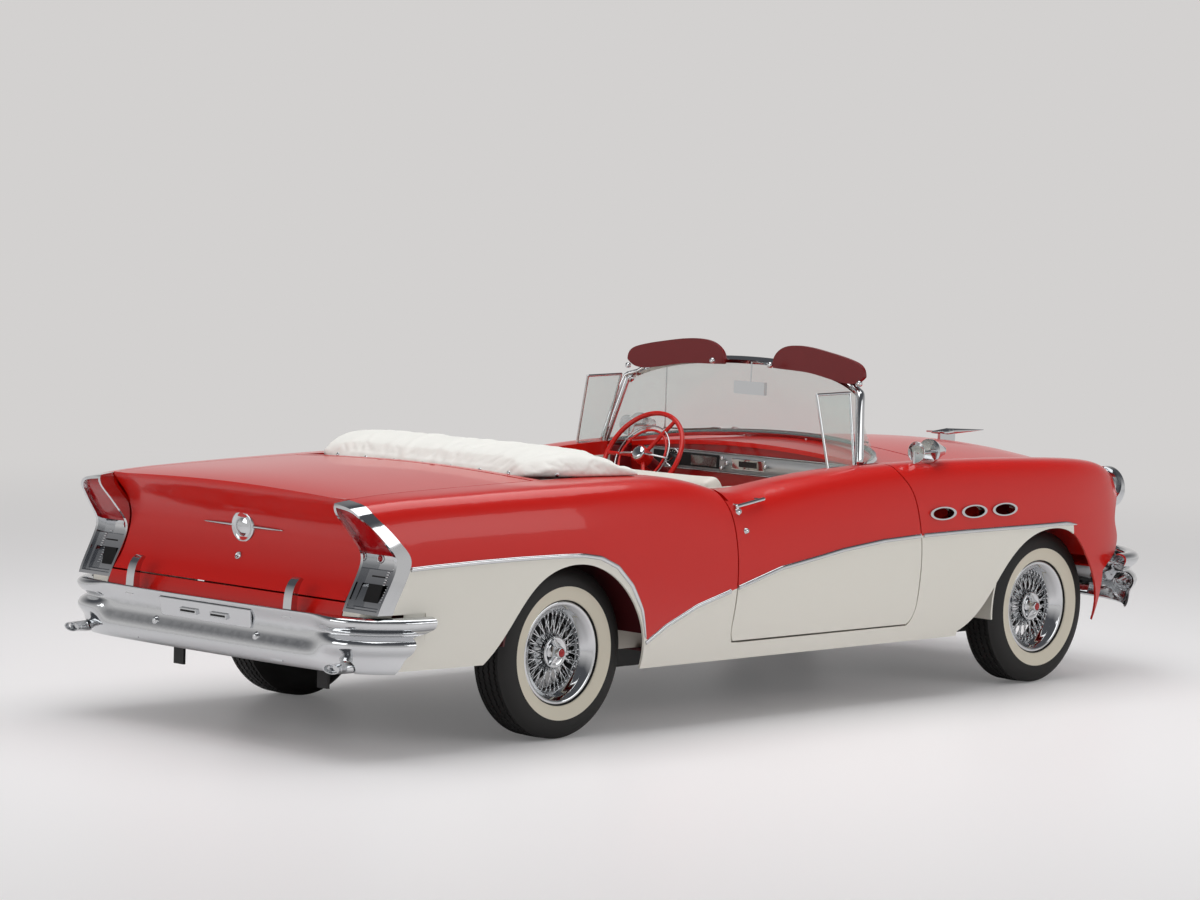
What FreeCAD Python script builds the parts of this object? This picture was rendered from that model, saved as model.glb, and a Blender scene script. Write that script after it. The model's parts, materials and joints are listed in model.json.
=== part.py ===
import FreeCAD, Part
import math
import os
import Sketcher

# A 1950s open car with a folding top, in millimetres.
# +X is forward, +Y is left, +Z is up. The origin is on the ground below the middle of the car.

Vector = FreeCAD.Vector

doc = FreeCAD.newDocument("Convertible")
sheet = doc.addObject("Spreadsheet::Sheet", "Sizes")

# Driving dimensions
sizes = {
    "wheelbase": 3099.0,
    "front_overhang": 937.5,
    "rear_overhang": 1190.5,
    "body_width": 1918.0,
    "track": 1499.0,
    "sill_height": 268.0,
    "body_depth": 776.0,
    "skin": 10.0,
    "lid_thickness": 20.0,
    "door_thickness": 229.0,
    "door_front_thickness": 159.0,
    "panel_gap": 7.0,
    "lid_gap": 5.5,
    "hinge_gap": 15.0,
    "door_set_back": 62.0,
    "door_flange": 60.0,
    "door_step": 21.0,
    "door_pin_depth": 17.0,
    "pin_radius": 5.0,
    "pin_clearance": 0.3,
    "seat_clearance": 0.3,
    "tyre_radius": 348.0,
    "tyre_width": 193.0,
    "rim_radius": 208.0,
    "rim_width": 150.0,
    "hub_radius": 62.0,
    "hub_cap_reach": 62.0,
    "spoke_thickness": 7.0,
    "spindle_radius": 20.0,
    "kingpin_inset": 95.0,
    "kingpin_radius": 14.0,
    "rail_width": 60.0,
    "rail_height": 110.0,
    "frame_clearance": 200.0,
    "frame_half_width": 460.0,
    "axle_rise": 200.0,
    "kicked_rail_height": 80.0,
    "sheet_thickness": 12.0,
    "tunnel_width": 260.0,
    "tunnel_height": 130.0,
    "wheelhouse_radius": 410.0,
    "steered_wheelhouse_radius": 430.0,
    "handle_radius": 8.0,
    "handle_stand_off": 28.0,
    "axle_tube_radius": 40.0,
    "differential_radius": 130.0,
    "spring_radius": 55.0,
    "brake_radius": 140.0,
    "brake_width": 60.0,
    "knuckle_height": 210.0,
    "knuckle_width": 56.0,
    "arm_width": 60.0,
    "arm_thickness": 25.0,
    "running_clearance": 5.0,
    "glass_thickness": 6.0,
    "windshield_tube": 14.0,
    "steering_wheel_radius": 218.0,
    "steering_rim_radius": 11.0,
    "column_radius": 26.0,
    "column_rake": 30.0,
    "column_offset": 375.0,
    "seat_width": 1360.0,
    "cushion_thickness": 190.0,
    "back_thickness": 150.0,
    "seat_depth": 520.0,
    "engine_length": 820.0,
    "engine_width": 480.0,
    "engine_height": 480.0,
    "bumper_wall": 8.0,
    "bumper_wing": 42.0,
    "guard_width": 46.0,
    "guard_radius": 42.0,
    "guard_height": 150.0,
    "tail_lamp_depth": 70.0,
    "tail_lamp_rim": 13.0,
    "tail_lamp_pocket": 46.0,
    "reflector_radius": 19.0,
    "exhaust_tip_width": 92.0,
    "lamp_radius": 100.0,
    "lamp_reach": 62.0,
    "port_width": 160.0,
    "port_height": 52.0,
    "port_rim": 9.0,
    "plate_slot_spacing": 180.0,
    "plate_slot_length": 95.0,
    "plate_slot_height": 8.0,
    "mirror_radius": 54.0,
    "visor_thickness": 18.0,
    "antenna_radius": 3.5,
    "antenna_height": 420.0,
    "overrun": 600.0,
}
for row, (name, value) in enumerate(sizes.items(), start=1):
    sheet.set(f"A{row}", name)
    sheet.set(f"B{row}", str(value))
    sheet.setAlias(f"B{row}", name)
doc.recompute()


class Rule(float):
    """A length that also remembers the sheet formula it comes from."""

    def __new__(cls, value, text=None):
        number = super().__new__(cls, value)
        number.text = text if text is not None else repr(float(value))
        return number

    def _join(self, other, sign, value, swap=False):
        mine, theirs = self.text, other.text if isinstance(other, Rule) else repr(float(other))
        if swap:
            mine, theirs = theirs, mine
        return Rule(value, f"({mine} {sign} {theirs})")

    def __add__(self, other):
        return self._join(other, "+", float(self) + float(other))

    def __radd__(self, other):
        return self._join(other, "+", float(other) + float(self), swap=True)

    def __sub__(self, other):
        return self._join(other, "-", float(self) - float(other))

    def __rsub__(self, other):
        return self._join(other, "-", float(other) - float(self), swap=True)

    def __mul__(self, other):
        return self._join(other, "*", float(self) * float(other))

    def __rmul__(self, other):
        return self._join(other, "*", float(other) * float(self), swap=True)

    def __truediv__(self, other):
        return self._join(other, "/", float(self) / float(other))

    def __neg__(self):
        return Rule(-float(self), f"(0 - {self.text})")


class Named:
    """Reads a driving dimension from the sheet by its alias."""

    def __getattr__(self, name):
        return Rule(float(getattr(sheet, name)), f"Sizes.{name}")


size = Named()

# Places along, across and up the body, as shares of the driving dimensions
half_width = size.body_width / 2
rear_axle_x = (size.rear_overhang - size.wheelbase - size.front_overhang) / 2
front_axle_x = rear_axle_x + size.wheelbase
wheel_y = size.track / 2


def along(share):
    """-1 is the tail, 0 the rear axle, 1 the front axle and 2 the nose."""
    if share < 0:
        return rear_axle_x + share * size.rear_overhang
    if share > 1:
        return front_axle_x + (share - 1) * size.front_overhang
    return rear_axle_x + share * size.wheelbase


def across(share):
    return share * half_width


def up(share):
    """0 is the sill's lower edge and 1 the top of the front fender."""
    return size.sill_height + share * size.body_depth


# General helpers
def bind(thing, name, value):
    if isinstance(value, Rule):
        thing.setExpression(name, value.text)
    else:
        setattr(thing, name, value)


def place(thing, x, y, z, axis=None, degrees=0.0):
    """Puts a piece at bound coordinates, turned about an axis through them."""
    if axis is not None:
        thing.Placement = FreeCAD.Placement(Vector(), FreeCAD.Rotation(Vector(*axis), degrees))
    for name, value in (("x", x), ("y", y), ("z", z)):
        rule = value if isinstance(value, Rule) else Rule(value)
        thing.setExpression(f"Placement.Base.{name}", rule.text)
    return thing


def box(name, x_range, y_range, z_range):
    """A block between two corners, bound to the sheet."""
    block = doc.addObject("Part::Box", name)
    bind(block, "Length", x_range[1] - x_range[0])
    bind(block, "Width", y_range[1] - y_range[0])
    bind(block, "Height", z_range[1] - z_range[0])
    return place(block, x_range[0], y_range[0], z_range[0])


def cylinder(name, radius, height, base, axis=None, degrees=0.0):
    rod = doc.addObject("Part::Cylinder", name)
    bind(rod, "Radius", radius)
    bind(rod, "Height", height)
    return place(rod, *base, axis, degrees)


def fuse(name, pieces):
    joined = doc.addObject("Part::MultiFuse", name)
    joined.Shapes = pieces
    joined.Refine = True
    return joined


def cut(name, base, tool):
    rest = doc.addObject("Part::Cut", name)
    rest.Base = base
    rest.Tool = tool
    return rest


def mirrored(name, source):
    """The same piece on the other side of the car."""
    twin = doc.addObject("Part::Mirroring", name)
    twin.Source = source
    twin.Normal = Vector(0, 1, 0)
    return twin


def feature(name, shape):
    piece = doc.addObject("Part::Feature", name)
    piece.Shape = shape
    piece.Placement = FreeCAD.Placement()
    return piece


subparts = []


def subpart(piece, label=None):
    """Marks an object of the document as a piece of the car."""
    if label is not None:
        piece.Label = label
    subparts.append(piece)
    return piece


# Freeform surfaces
def clamped(count, degree):
    inner = count - degree
    knots = [index / inner for index in range(inner + 1)]
    counts = [degree + 1] + [1] * (inner - 1) + [degree + 1]
    return knots, counts


def face(net):
    """A smooth face over a net of control points."""
    rows, columns = len(net), len(net[0])
    row_degree, column_degree = min(3, rows - 1), min(3, columns - 1)
    row_knots, row_counts = clamped(rows, row_degree)
    column_knots, column_counts = clamped(columns, column_degree)
    surface = Part.BSplineSurface()
    surface.buildFromPolesMultsKnots(
        net, row_counts, column_counts, row_knots, column_knots, False, False, row_degree, column_degree
    )
    return surface.toShape()


def block_between(outer, inner):
    """The closed solid between two nets of the same size."""
    faces = [face(outer), face(inner)]
    faces.append(face([outer[0], inner[0]]))
    faces.append(face([outer[-1], inner[-1]]))
    faces.append(face([[row[0] for row in outer], [row[0] for row in inner]]))
    faces.append(face([[row[-1] for row in outer], [row[-1] for row in inner]]))
    shell = Part.makeShell(faces)
    shell.sewShape()
    solid = Part.makeSolid(shell)
    if solid.Volume < 0:
        solid.reverse()
    return solid


def offset_net(net, depth):
    """The net moved inward, square to the surface."""
    rows, columns = len(net), len(net[0])
    moved = []
    for row in range(rows):
        line = []
        for column in range(columns):
            ahead = net[min(row + 1, rows - 1)][column] - net[max(row - 1, 0)][column]
            aside = net[row][min(column + 1, columns - 1)] - net[row][max(column - 1, 0)]
            normal = ahead.cross(aside).normalize()
            line.append(net[row][column] + normal * float(depth))
        moved.append(line)
    return moved


def spline(points):
    curve = Part.BSplineCurve()
    curve.interpolate(points)
    return curve.toShape()


def closed_wire(runs):
    """A closed outline: a run of two points is a line and a longer one a smooth curve."""
    edges = []
    for run in runs:
        edges.append(spline(run) if len(run) > 2 else Part.makeLine(*run))
    for first, second in zip(runs, runs[1:] + runs[:1]):
        if (first[-1] - second[0]).Length > 1e-6:
            edges.append(Part.makeLine(first[-1], second[0]))
    return Part.Wire(Part.__sortEdges__(edges))


def side_prism(runs, y_start, y_end):
    """An outline in the side view, pushed across the car."""
    runs = [[Vector(x, y_start, z) for x, z in run] for run in runs]
    return Part.Face(closed_wire(runs)).extrude(Vector(0, y_end - y_start, 0))


def plan_prism(runs, z_start, z_end):
    """An outline seen from above, pushed up."""
    runs = [[Vector(x, y, z_start) for x, y in run] for run in runs]
    return Part.Face(closed_wire(runs)).extrude(Vector(0, 0, z_end - z_start))


def block(x_range, y_range, z_range):
    """A plain cutting block between two corners."""
    corner = Vector(x_range[0], y_range[0], z_range[0])
    spans = [pair[1] - pair[0] for pair in (x_range, y_range, z_range)]
    return Part.makeBox(*spans, corner)


def cross_drum(radius, length, base):
    """A round drum that runs across the car, with its seam underneath."""
    drum = Part.makeCylinder(radius, length, base, Vector(0, 1, 0))
    drum.rotate(base, Vector(0, 1, 0), -90)
    return drum


def flip(shape):
    return shape.mirror(Vector(0, 0, 0), Vector(0, 1, 0))


# Body lines, station by station from the tail to the nose
station_shares = [
    -0.96, -0.90, -0.78, -0.59, -0.29, 0.0, 0.10, 0.18, 0.24, 0.295,
    0.345, 0.42, 0.52, 0.63, 0.76, 0.90, 1.11, 1.37, 1.52, 1.60,
]
crest_height_shares = [
    0.905, 0.920, 0.938, 0.950, 0.965, 0.977, 0.987, 0.990, 0.955, 0.890,
    0.892, 0.937, 0.975, 0.997, 1.005, 0.998, 0.980, 0.962, 0.930, 0.870,
]
crest_width_shares = [
    0.80, 0.81, 0.825, 0.845, 0.86, 0.866, 0.866, 0.866, 0.86, 0.85,
    0.85, 0.85, 0.86, 0.875, 0.885, 0.885, 0.875, 0.85, 0.83, 0.81,
]
belt_width_shares = [
    0.92, 0.93, 0.945, 0.965, 0.985, 1.0, 1.0, 1.0, 1.0, 1.0,
    1.0, 1.0, 1.0, 1.0, 1.0, 1.0, 0.99, 0.965, 0.935, 0.90,
]
sill_width_shares = [
    0.87, 0.88, 0.90, 0.92, 0.94, 0.95, 0.95, 0.95, 0.95, 0.95,
    0.95, 0.95, 0.95, 0.95, 0.95, 0.95, 0.94, 0.91, 0.88, 0.86,
]
valley_width_shares = [
    0.725, 0.725, 0.728, 0.730, 0.735, 0.735, 0.735, 0.735, 0.735, 0.735,
    0.735, 0.735, 0.735, 0.730, 0.715, 0.690, 0.655, 0.625, 0.605, 0.595,
]
valley_height_shares = [
    0.915, 0.930, 0.948, 0.959, 0.972, 0.982, 0.988, 0.990, 0.953, 0.886,
    0.888, 0.930, 0.965, 0.979, 0.980, 0.972, 0.952, 0.925, 0.890, 0.860,
]
# Rows between the sill and the crest: height share of the crest, then share from sill to belt
flank_shares = [(0.10, 0.55), (0.26, 1.0), (0.45, 1.0), (0.64, 1.0)]


def side_section(index):
    """Control points of one station of the left side, from the sill to the valley."""
    x = along(station_shares[index])
    crest = crest_height_shares[index]
    sill, belt = sill_width_shares[index], belt_width_shares[index]
    top, valley = crest_width_shares[index], valley_width_shares[index]
    points = [Vector(x, across(sill), up(0))]
    for height, reach in flank_shares:
        points.append(Vector(x, across(sill + (belt - sill) * reach), up(height * crest)))
    points.append(Vector(x, across(belt - 0.15 * (belt - top)), up(0.84 * crest)))
    points.append(Vector(x, across(top + 0.45 * (belt - top)), up(crest)))
    points.append(Vector(x, across(top - 0.25 * (top - valley)), up(crest)))
    points.append(Vector(x, across(valley), up(valley_height_shares[index])))
    return points


side_net = [side_section(index) for index in range(len(station_shares))]
core_y = across(0.60)


def core_section(section):
    """The same station pressed flat against a plane inside the car."""
    low, high = section[0].z, section[-1].z
    last = len(section) - 1
    return [Vector(point.x, core_y, low + (high - low) * row / last) for row, point in enumerate(section)]


side_volume = block_between(side_net, [core_section(section) for section in side_net])
seat_net = offset_net(side_net, -size.seat_clearance)
side_seat = block_between(seat_net, [core_section(section) for section in seat_net])
side_shell = block_between(side_net, offset_net(side_net, size.skin))


# Centre surfaces between the two valleys
crown_shares = [-1.0, -0.72, -0.36, 0.0, 0.36, 0.72, 1.0]


def body_line(share, table):
    """A body line's value at any place along the car."""
    for left, right, start, end in zip(station_shares, station_shares[1:], table, table[1:]):
        if share <= right:
            return start + (end - start) * (share - left) / (right - left)
    return table[-1]


def centre_net(places, gap):
    """Rows across the car at each place: where along, edge height, middle height."""
    net = []
    for where, edge, middle in places:
        reach = across(body_line(where, valley_width_shares)) - gap
        line = []
        for share in crown_shares:
            height = edge + (middle - edge) * (1 - share * share)
            line.append(Vector(along(where), reach * share, up(height)))
        net.append(line)
    return net


hood_rise_shares = [(0.56, 0.050), (0.64, 0.056), (0.72, 0.068), (0.80, 0.076), (0.92, 0.078), (1.11, 0.078),
                    (1.37, 0.072), (1.60, 0.076), (1.90, 0.085)]
deck_rise_shares = [(-0.98, 0.022), (-0.90, 0.026), (-0.78, 0.030), (-0.59, 0.032), (-0.29, 0.032),
                    (0.0, 0.030), (0.10, 0.026), (0.16, 0.022)]
nose_drop_share = 0.20


def rising(table, gap):
    """A centre net whose edges follow the valleys and whose middle rises above them."""
    places = []
    for where, rise in table:
        edge = body_line(where, valley_height_shares) - max(0.0, where - 1.6) * nose_drop_share
        places.append((where, edge, edge + rise))
    return centre_net(places, gap)


def above(net):
    """The space above a net."""
    return block_between(net, [[point + Vector(0, 0, size.overrun) for point in line] for line in net])


def lowered(net, depth):
    """The net moved straight down."""
    return [[point - Vector(0, 0, depth) for point in line] for line in net]


hood_net = rising(hood_rise_shares, size.lid_gap)
hood_under = lowered(hood_net, size.lid_thickness)
cowl_net = rising(hood_rise_shares, 0)
cowl_under = offset_net(cowl_net, -size.lid_thickness)
lid_net = rising(deck_rise_shares, size.lid_gap)
deck_net = rising(deck_rise_shares, 0)
deck_under = offset_net(deck_net, -size.lid_thickness)
hood_shell = block_between(hood_net, hood_under)
cowl_shell = block_between(cowl_net, cowl_under)
lid_shell = block_between(lid_net, lowered(lid_net, size.lid_thickness))
deck_shell = block_between(deck_net, deck_under)

# Side outlines as shares along and up the body
door_front_shares = [(0.639, 1.05), (0.640, 0.96), (0.656, 0.867), (0.668, 0.716), (0.6745, 0.52),
                     (0.674, 0.40), (0.6715, 0.27), (0.6625, 0.122), (0.655, 0.101)]
door_rear_shares = [(0.292, 0.103), (0.2885, 0.12), (0.287, 0.25), (0.291, 0.40), (0.291, 0.55),
                    (0.2885, 0.70), (0.284, 0.81), (0.2725, 0.916), (0.268, 1.05)]


def door_outline(grow):
    """The door in the side view, larger by a gap on every edge."""
    front = [(along(u) + grow, up(v)) for u, v in door_front_shares]
    rear = [(along(u) - grow, up(v)) for u, v in door_rear_shares]
    front[-1] = (front[-1][0], front[-1][1] - grow)
    rear[0] = (rear[0][0], rear[0][1] - grow)
    return [front, rear]


front_arch_shares = [(0.7775, 0.027), (0.8046, 0.09), (0.8572, 0.33), (0.9208, 0.530), (1.00, 0.577),
                     (1.10, 0.545), (1.232, 0.405), (1.331, 0.235), (1.385, 0.08), (1.40, -0.05)]
rear_arch_shares = [(-0.55, 0.0), (-0.437, 0.10), (-0.338, 0.28), (-0.193, 0.514), (-0.02, 0.577),
                    (0.057, 0.486), (0.098, 0.31), (0.116, 0.14), (0.119, -0.05)]


def arch_prism(shares):
    run = [(along(u), up(v)) for u, v in shares]
    foot = up(-0.3)
    return side_prism([run, [(run[-1][0], foot), (run[0][0], foot)]], across(0.5), across(1.2))


# Rear and front end profiles
tail_shares = [(-0.90, 1.10), (-0.935, 0.94), (-0.945, 0.905), (-0.91, 0.82), (-0.85, 0.72), (-0.822, 0.655),
               (-0.836, 0.567), (-0.866, 0.48), (-0.882, 0.434), (-0.90, 0.36), (-0.905, 0.28), (-0.86, 0.10)]


lid_back_shares = [(-0.86, 1.10), (-0.885, 0.965), (-0.89, 0.94), (-0.875, 0.895), (-0.844, 0.8415), (-0.815, 0.765),
                   (-0.808, 0.70), (-0.814, 0.64), (-0.829, 0.57), (-0.856, 0.49), (-0.882, 0.434), (-0.90, 0.36),
                   (-0.905, 0.28), (-0.86, 0.10)]


def tail_keeper(shift=0.0, shares=None):
    """Everything ahead of the tail profile, or of another profile of the tail."""
    run = [(along(u) + shift, up(v)) for u, v in shares or tail_shares]
    ahead, top, foot = along(0.3), up(1.3), up(-0.3)
    outline = [run, [(run[-1][0], foot), (ahead, foot)], [(ahead, top), (run[0][0], top)]]
    return side_prism(outline, -across(1.2), across(1.2))


nose_shares = [(1.55, 0.62), (1.60, 0.58), (1.72, 0.40), (1.80, 0.18), (1.815, 0.0),
               (1.80, -0.18), (1.72, -0.40), (1.60, -0.58), (1.55, -0.62)]
fender_nose_shares = [(1.40, 1.10), (1.50, 0.96), (1.575, 0.90), (1.60, 0.83), (1.585, 0.75), (1.545, 0.68),
                      (1.525, 0.58), (1.56, 0.49), (1.535, 0.41), (1.455, 0.345), (1.40, 0.30)]


def nose_keeper(shift=0.0):
    """Everything behind the plan curve of the grille and hood front."""
    run = [(along(u) + shift, across(w)) for u, w in nose_shares]
    behind = along(0.3)
    outline = [run, [(run[-1][0], -across(1.2)), (behind, -across(1.2))],
               [(behind, across(1.2)), (run[0][0], across(1.2))]]
    return plan_prism(outline, up(-0.3), up(1.4))


def fender_nose_keeper(shift=0.0):
    """Everything behind the side profile of the fender's nose."""
    run = [(along(u) + shift, up(v)) for u, v in fender_nose_shares]
    behind = along(0.3)
    outline = [run, [(run[-1][0], up(-0.3)), (behind, up(-0.3))], [(behind, up(1.3)), (run[0][0], up(1.3))]]
    return side_prism(outline, 0, across(1.2))


far_left = across(1.2)
tail_end = along(-1.1)
nose_end = along(2.1)
under_all = up(-0.5)
over_all = up(1.6)
door_hole = side_prism(door_outline(size.panel_gap), core_y, far_left)
arch_hole_front = arch_prism(front_arch_shares)
arch_hole_rear = arch_prism(rear_arch_shares)
sill_top = up(0.101) - size.panel_gap
floor_bottom = size.frame_clearance + size.rail_height
floor_top = floor_bottom + size.sheet_thickness
cowl_front = along(0.785)
cowl_rear = along(0.645)
firewall_x = along(0.73)
mid_door = along(0.48)
lamp_y = across(0.80)
lamp_z = up(0.77)
trim_y = across(0.736)


def largest(shape):
    return max(shape.Solids, key=lambda solid: solid.Volume)


def carve(shape, tools):
    """Cuts with one tool after another."""
    for tool in tools:
        shape = shape.cut(tool)
    return shape


# Plan curves of the bumpers, and how far their lips turn inward as a share of the wing's size
lip_share = 0.3
rear_bumper_shares = [(-0.70, 0.975), (-0.80, 0.955), (-0.91, 0.85), (-0.958, 0.60), (-0.966, 0.0), (-0.958, -0.60),
                      (-0.91, -0.85), (-0.80, -0.955), (-0.70, -0.975)]
front_bumper_shares = [(1.50, 0.975), (1.61, 0.955), (1.75, 0.85), (1.91, 0.60), (1.98, 0.0), (1.91, -0.60),
                       (1.75, -0.85), (1.61, -0.955), (1.50, -0.975)]


def plan_curve(shares):
    curve = Part.BSplineCurve()
    curve.interpolate([Vector(along(u), across(w), 0) for u, w in shares])
    return curve


def outward_at(curve, place_on, toward):
    """A point of a bumper's plan curve and the level direction away from the car."""
    middle = curve.value(place_on)
    tangent = curve.tangent(place_on)[0]
    outward = Vector(tangent.y, -tangent.x, 0)
    if outward.x * toward + outward.y * middle.y < 0:
        outward = outward * -1
    return middle, outward


def bumper_room(shares, toward, inset):
    """Everything on the car's side of a bumper's plan curve, moved inward."""
    curve = plan_curve(shares)
    run = []
    for u, w in shares:
        middle, outward = outward_at(curve, curve.parameter(Vector(along(u), across(w), 0)), toward)
        run.append((middle.x - outward.x * inset, middle.y - outward.y * inset))
    inside = 0.0
    outline = [run, [(run[-1][0], -across(1.1)), (inside, -across(1.1))],
               [(inside, across(1.1)), (run[0][0], across(1.1))]]
    return plan_prism(outline, under_all, over_all)


# Tail pipes pass through the body and the bumper
pipe_y = across(0.808)
pipe_z = up(0.121)
pipe_radius = size.spindle_radius * 1.1


def pipe_room():
    room = Part.makeCylinder(pipe_radius + size.running_clearance, along(-0.5) - tail_end,
                             Vector(tail_end, pipe_y, pipe_z), Vector(1, 0, 0))
    return Part.makeCompound([room, flip(room)])


# Front fenders with apron, wheelhouse and closed nose
wheelhouse_outer_y = across(0.94)


def wheelhouse(axle_x, radius, inner_y, low):
    """The upper part of a drum over a wheel, open at both ends."""
    drum = cross_drum(radius, wheelhouse_outer_y - inner_y, Vector(axle_x, inner_y, size.tyre_radius))
    bore = cross_drum(radius - size.skin, far_left, Vector(axle_x, 0, size.tyre_radius))
    lower = block((axle_x - radius * 2, axle_x + radius * 2), (0, far_left), (under_all - size.overrun, low))
    return drum.cut(bore).cut(lower)


def front_fender():
    shell = side_shell.common(block((mid_door, nose_end), (0, far_left), (under_all, over_all)))
    shell = shell.cut(arch_hole_front)
    radius = size.steered_wheelhouse_radius
    drum = cross_drum(radius - size.skin, far_left, Vector(front_axle_x, 0, size.tyre_radius))
    nose = fender_nose_keeper().cut(fender_nose_keeper(-size.lid_thickness)).common(side_volume).cut(drum)
    apron = block((firewall_x, along(1.30)), (trim_y, trim_y + size.skin), (floor_top, over_all))
    apron = apron.common(side_volume)
    below = block((front_axle_x - radius, nose_end), (0, far_left), (under_all, size.tyre_radius + radius / 2))
    house = wheelhouse(front_axle_x, radius, size.frame_half_width + size.skin, floor_top)
    house = house.cut(block((front_axle_x, nose_end), (0, far_left), (under_all, size.tyre_radius + radius / 2)))
    shape = shell.fuse([nose, apron.cut(drum).cut(below), house])
    shape = shape.cut(door_hole)
    shape = shape.common(fender_nose_keeper())
    shape = shape.cut(arch_hole_front.common(block((tail_end, nose_end), (wheelhouse_outer_y, far_left),
                                                   (under_all, over_all))))
    behind = block((mid_door, along(0.655) + size.panel_gap), (0, far_left), (under_all, sill_top))
    shape = shape.cut(behind)
    shape = shape.cut(Part.makeCylinder(size.lamp_radius * 0.85, size.wheelbase, Vector(along(1.45), lamp_y, lamp_z),
                                        Vector(1, 0, 0)))
    for share in port_shares:
        shape = shape.cut(port_prism(share, 1.0, wheelhouse_outer_y, far_left))
    return largest(shape.removeSplitter())


port_shares = [0.7207, 0.7907, 0.8614]


def port_prism(share, grow, y_start, y_end):
    """An oval through the fender's side."""
    oval = Part.Ellipse(Vector(0, 0, 0), size.port_width / 2 * grow, size.port_height / 2 * grow).toShape()
    oval.rotate(Vector(0, 0, 0), Vector(1, 0, 0), 90)
    oval.translate(Vector(along(share), y_start, up(0.713)))
    return Part.Face(Part.Wire(oval)).extrude(Vector(0, y_end - y_start, 0))


def jamb():
    """The door opening's rear edge, turned in to the trim."""
    ring = side_prism(door_outline(size.panel_gap + size.sheet_thickness), core_y, far_left).cut(door_hole)
    rear = block((tail_end, mid_door), (trim_y, far_left), (sill_top, over_all))
    return ring.common(rear).common(side_volume)


lamp_low = up(0.385)
lamp_inner_y = across(0.725)


def quarter_tail():
    """The walls that close the quarter's end: one behind the lamp, a shelf below it and one behind the bumper."""
    behind_lamp = tail_keeper(size.tail_lamp_depth).cut(tail_keeper(size.tail_lamp_depth + size.lid_thickness))
    shelf = tail_keeper().cut(tail_keeper(size.tail_lamp_depth + size.lid_thickness))
    behind_bumper = tail_keeper().cut(tail_keeper(size.lid_thickness))
    shelf_low = lamp_low - size.lid_thickness
    reach = (across(0.73), far_left)
    walls = [behind_lamp.common(block((tail_end, 0), reach, (shelf_low, over_all))),
             shelf.common(block((tail_end, 0), reach, (shelf_low, lamp_low))),
             behind_bumper.common(block((tail_end, 0), reach, (under_all, lamp_low)))]
    return [wall.common(side_volume) for wall in walls]


def lamp_space():
    """Where the tail lamp takes the place of the quarter's end."""
    space = block((tail_end, 0), (across(0.5), far_left), (lamp_low, over_all))
    return space.cut(tail_keeper(size.tail_lamp_depth))


def quarter():
    shell = side_shell.common(block((tail_end, mid_door), (0, far_left), (under_all, over_all)))
    trim = block((along(0.135), along(0.292)), (trim_y, trim_y + size.sheet_thickness), (floor_top, over_all))
    trim = trim.common(side_volume)
    shape = shell.fuse(quarter_tail() + [jamb(), trim])
    shape = shape.cut(door_hole)
    shape = shape.common(tail_keeper())
    shape = shape.cut(lamp_space())
    arch = arch_hole_rear.common(block((tail_end, nose_end), (wheelhouse_outer_y, far_left), (under_all, over_all)))
    shape = shape.cut(arch)
    ahead = block((along(0.2922) - size.panel_gap, mid_door), (0, far_left), (under_all, sill_top))
    shape = shape.cut(ahead)
    tuck = block((tail_end, along(-0.2)), (0, far_left), (under_all, up(0.10)))
    shape = shape.cut(tuck)
    corner = block((tail_end, along(-0.6)), (0, far_left), (under_all, lamp_low))
    corner = corner.cut(bumper_room(rear_bumper_shares, -1, size.bumper_wall + size.bumper_wing * lip_share
                                    + size.running_clearance))
    shape = shape.cut(corner)
    shape = shape.cut(pipe_room())
    return largest(shape)


rocker_ends = (along(0.2922) - size.panel_gap, along(0.655) + size.panel_gap)


def rocker():
    return side_volume.common(block(rocker_ends, (across(0.80), far_left), (up(0), sill_top)))


def both_sides(shape):
    return Part.makeCompound([shape, flip(shape)])


fender_shape = front_fender()
subpart(feature("front_fenders", both_sides(fender_shape)))
quarter_shape = quarter()
subpart(feature("quarter_panels", both_sides(quarter_shape)))
subpart(feature("rockers", both_sides(rocker())))

# Doors with a pocket for each hinge strap
hinge_x = along(0.6745) - size.door_set_back
hinge_y = half_width - size.door_pin_depth
hinge_height_shares = [0.26, 0.66]
hinge_height = size.pin_radius * 8
door_inner_y = half_width - size.door_thickness
door_front_y = half_width - size.door_front_thickness
pillar_start = along(0.604)


def door():
    shape = side_volume.common(side_prism(door_outline(0.0), core_y, far_left))
    shape = shape.cut(block((tail_end, nose_end), (0, door_inner_y), (under_all, over_all)))
    shape = shape.cut(block((pillar_start, nose_end), (0, door_front_y), (under_all, over_all)))
    step = side_prism(door_outline(0.0), 0, half_width - size.door_flange)
    step = step.cut(side_prism(door_outline(-size.door_step), 0, half_width))
    shape = shape.cut(step.common(block((tail_end, mid_door), (0, far_left), (under_all, over_all))))
    for share in hinge_height_shares:
        middle = up(share)
        pocket = block((hinge_x - size.pin_radius * 2, along(0.75)), (core_y, hinge_y + size.pin_radius * 1.1),
                       (middle - hinge_height / 2, middle + hinge_height / 2))
        shape = shape.cut(pocket)
        bore = Part.makeCylinder(size.pin_radius + size.pin_clearance, hinge_height * 2,
                                 Vector(hinge_x, hinge_y, middle - hinge_height))
        shape = shape.cut(bore)
    return shape


door_left = subpart(feature("door_left", door()))
door_right = subpart(mirrored("door_right", door_left))

# Body hinge straps: a pin, a leg inward and a leg forward to the pillar
strap_reach = (size.door_set_back + size.panel_gap + size.running_clearance * 1.5) * 1.12
strap_thickness = size.skin
strap_height = hinge_height - size.running_clearance * 2
post_x = along(0.6745) + size.panel_gap * 2


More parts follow.
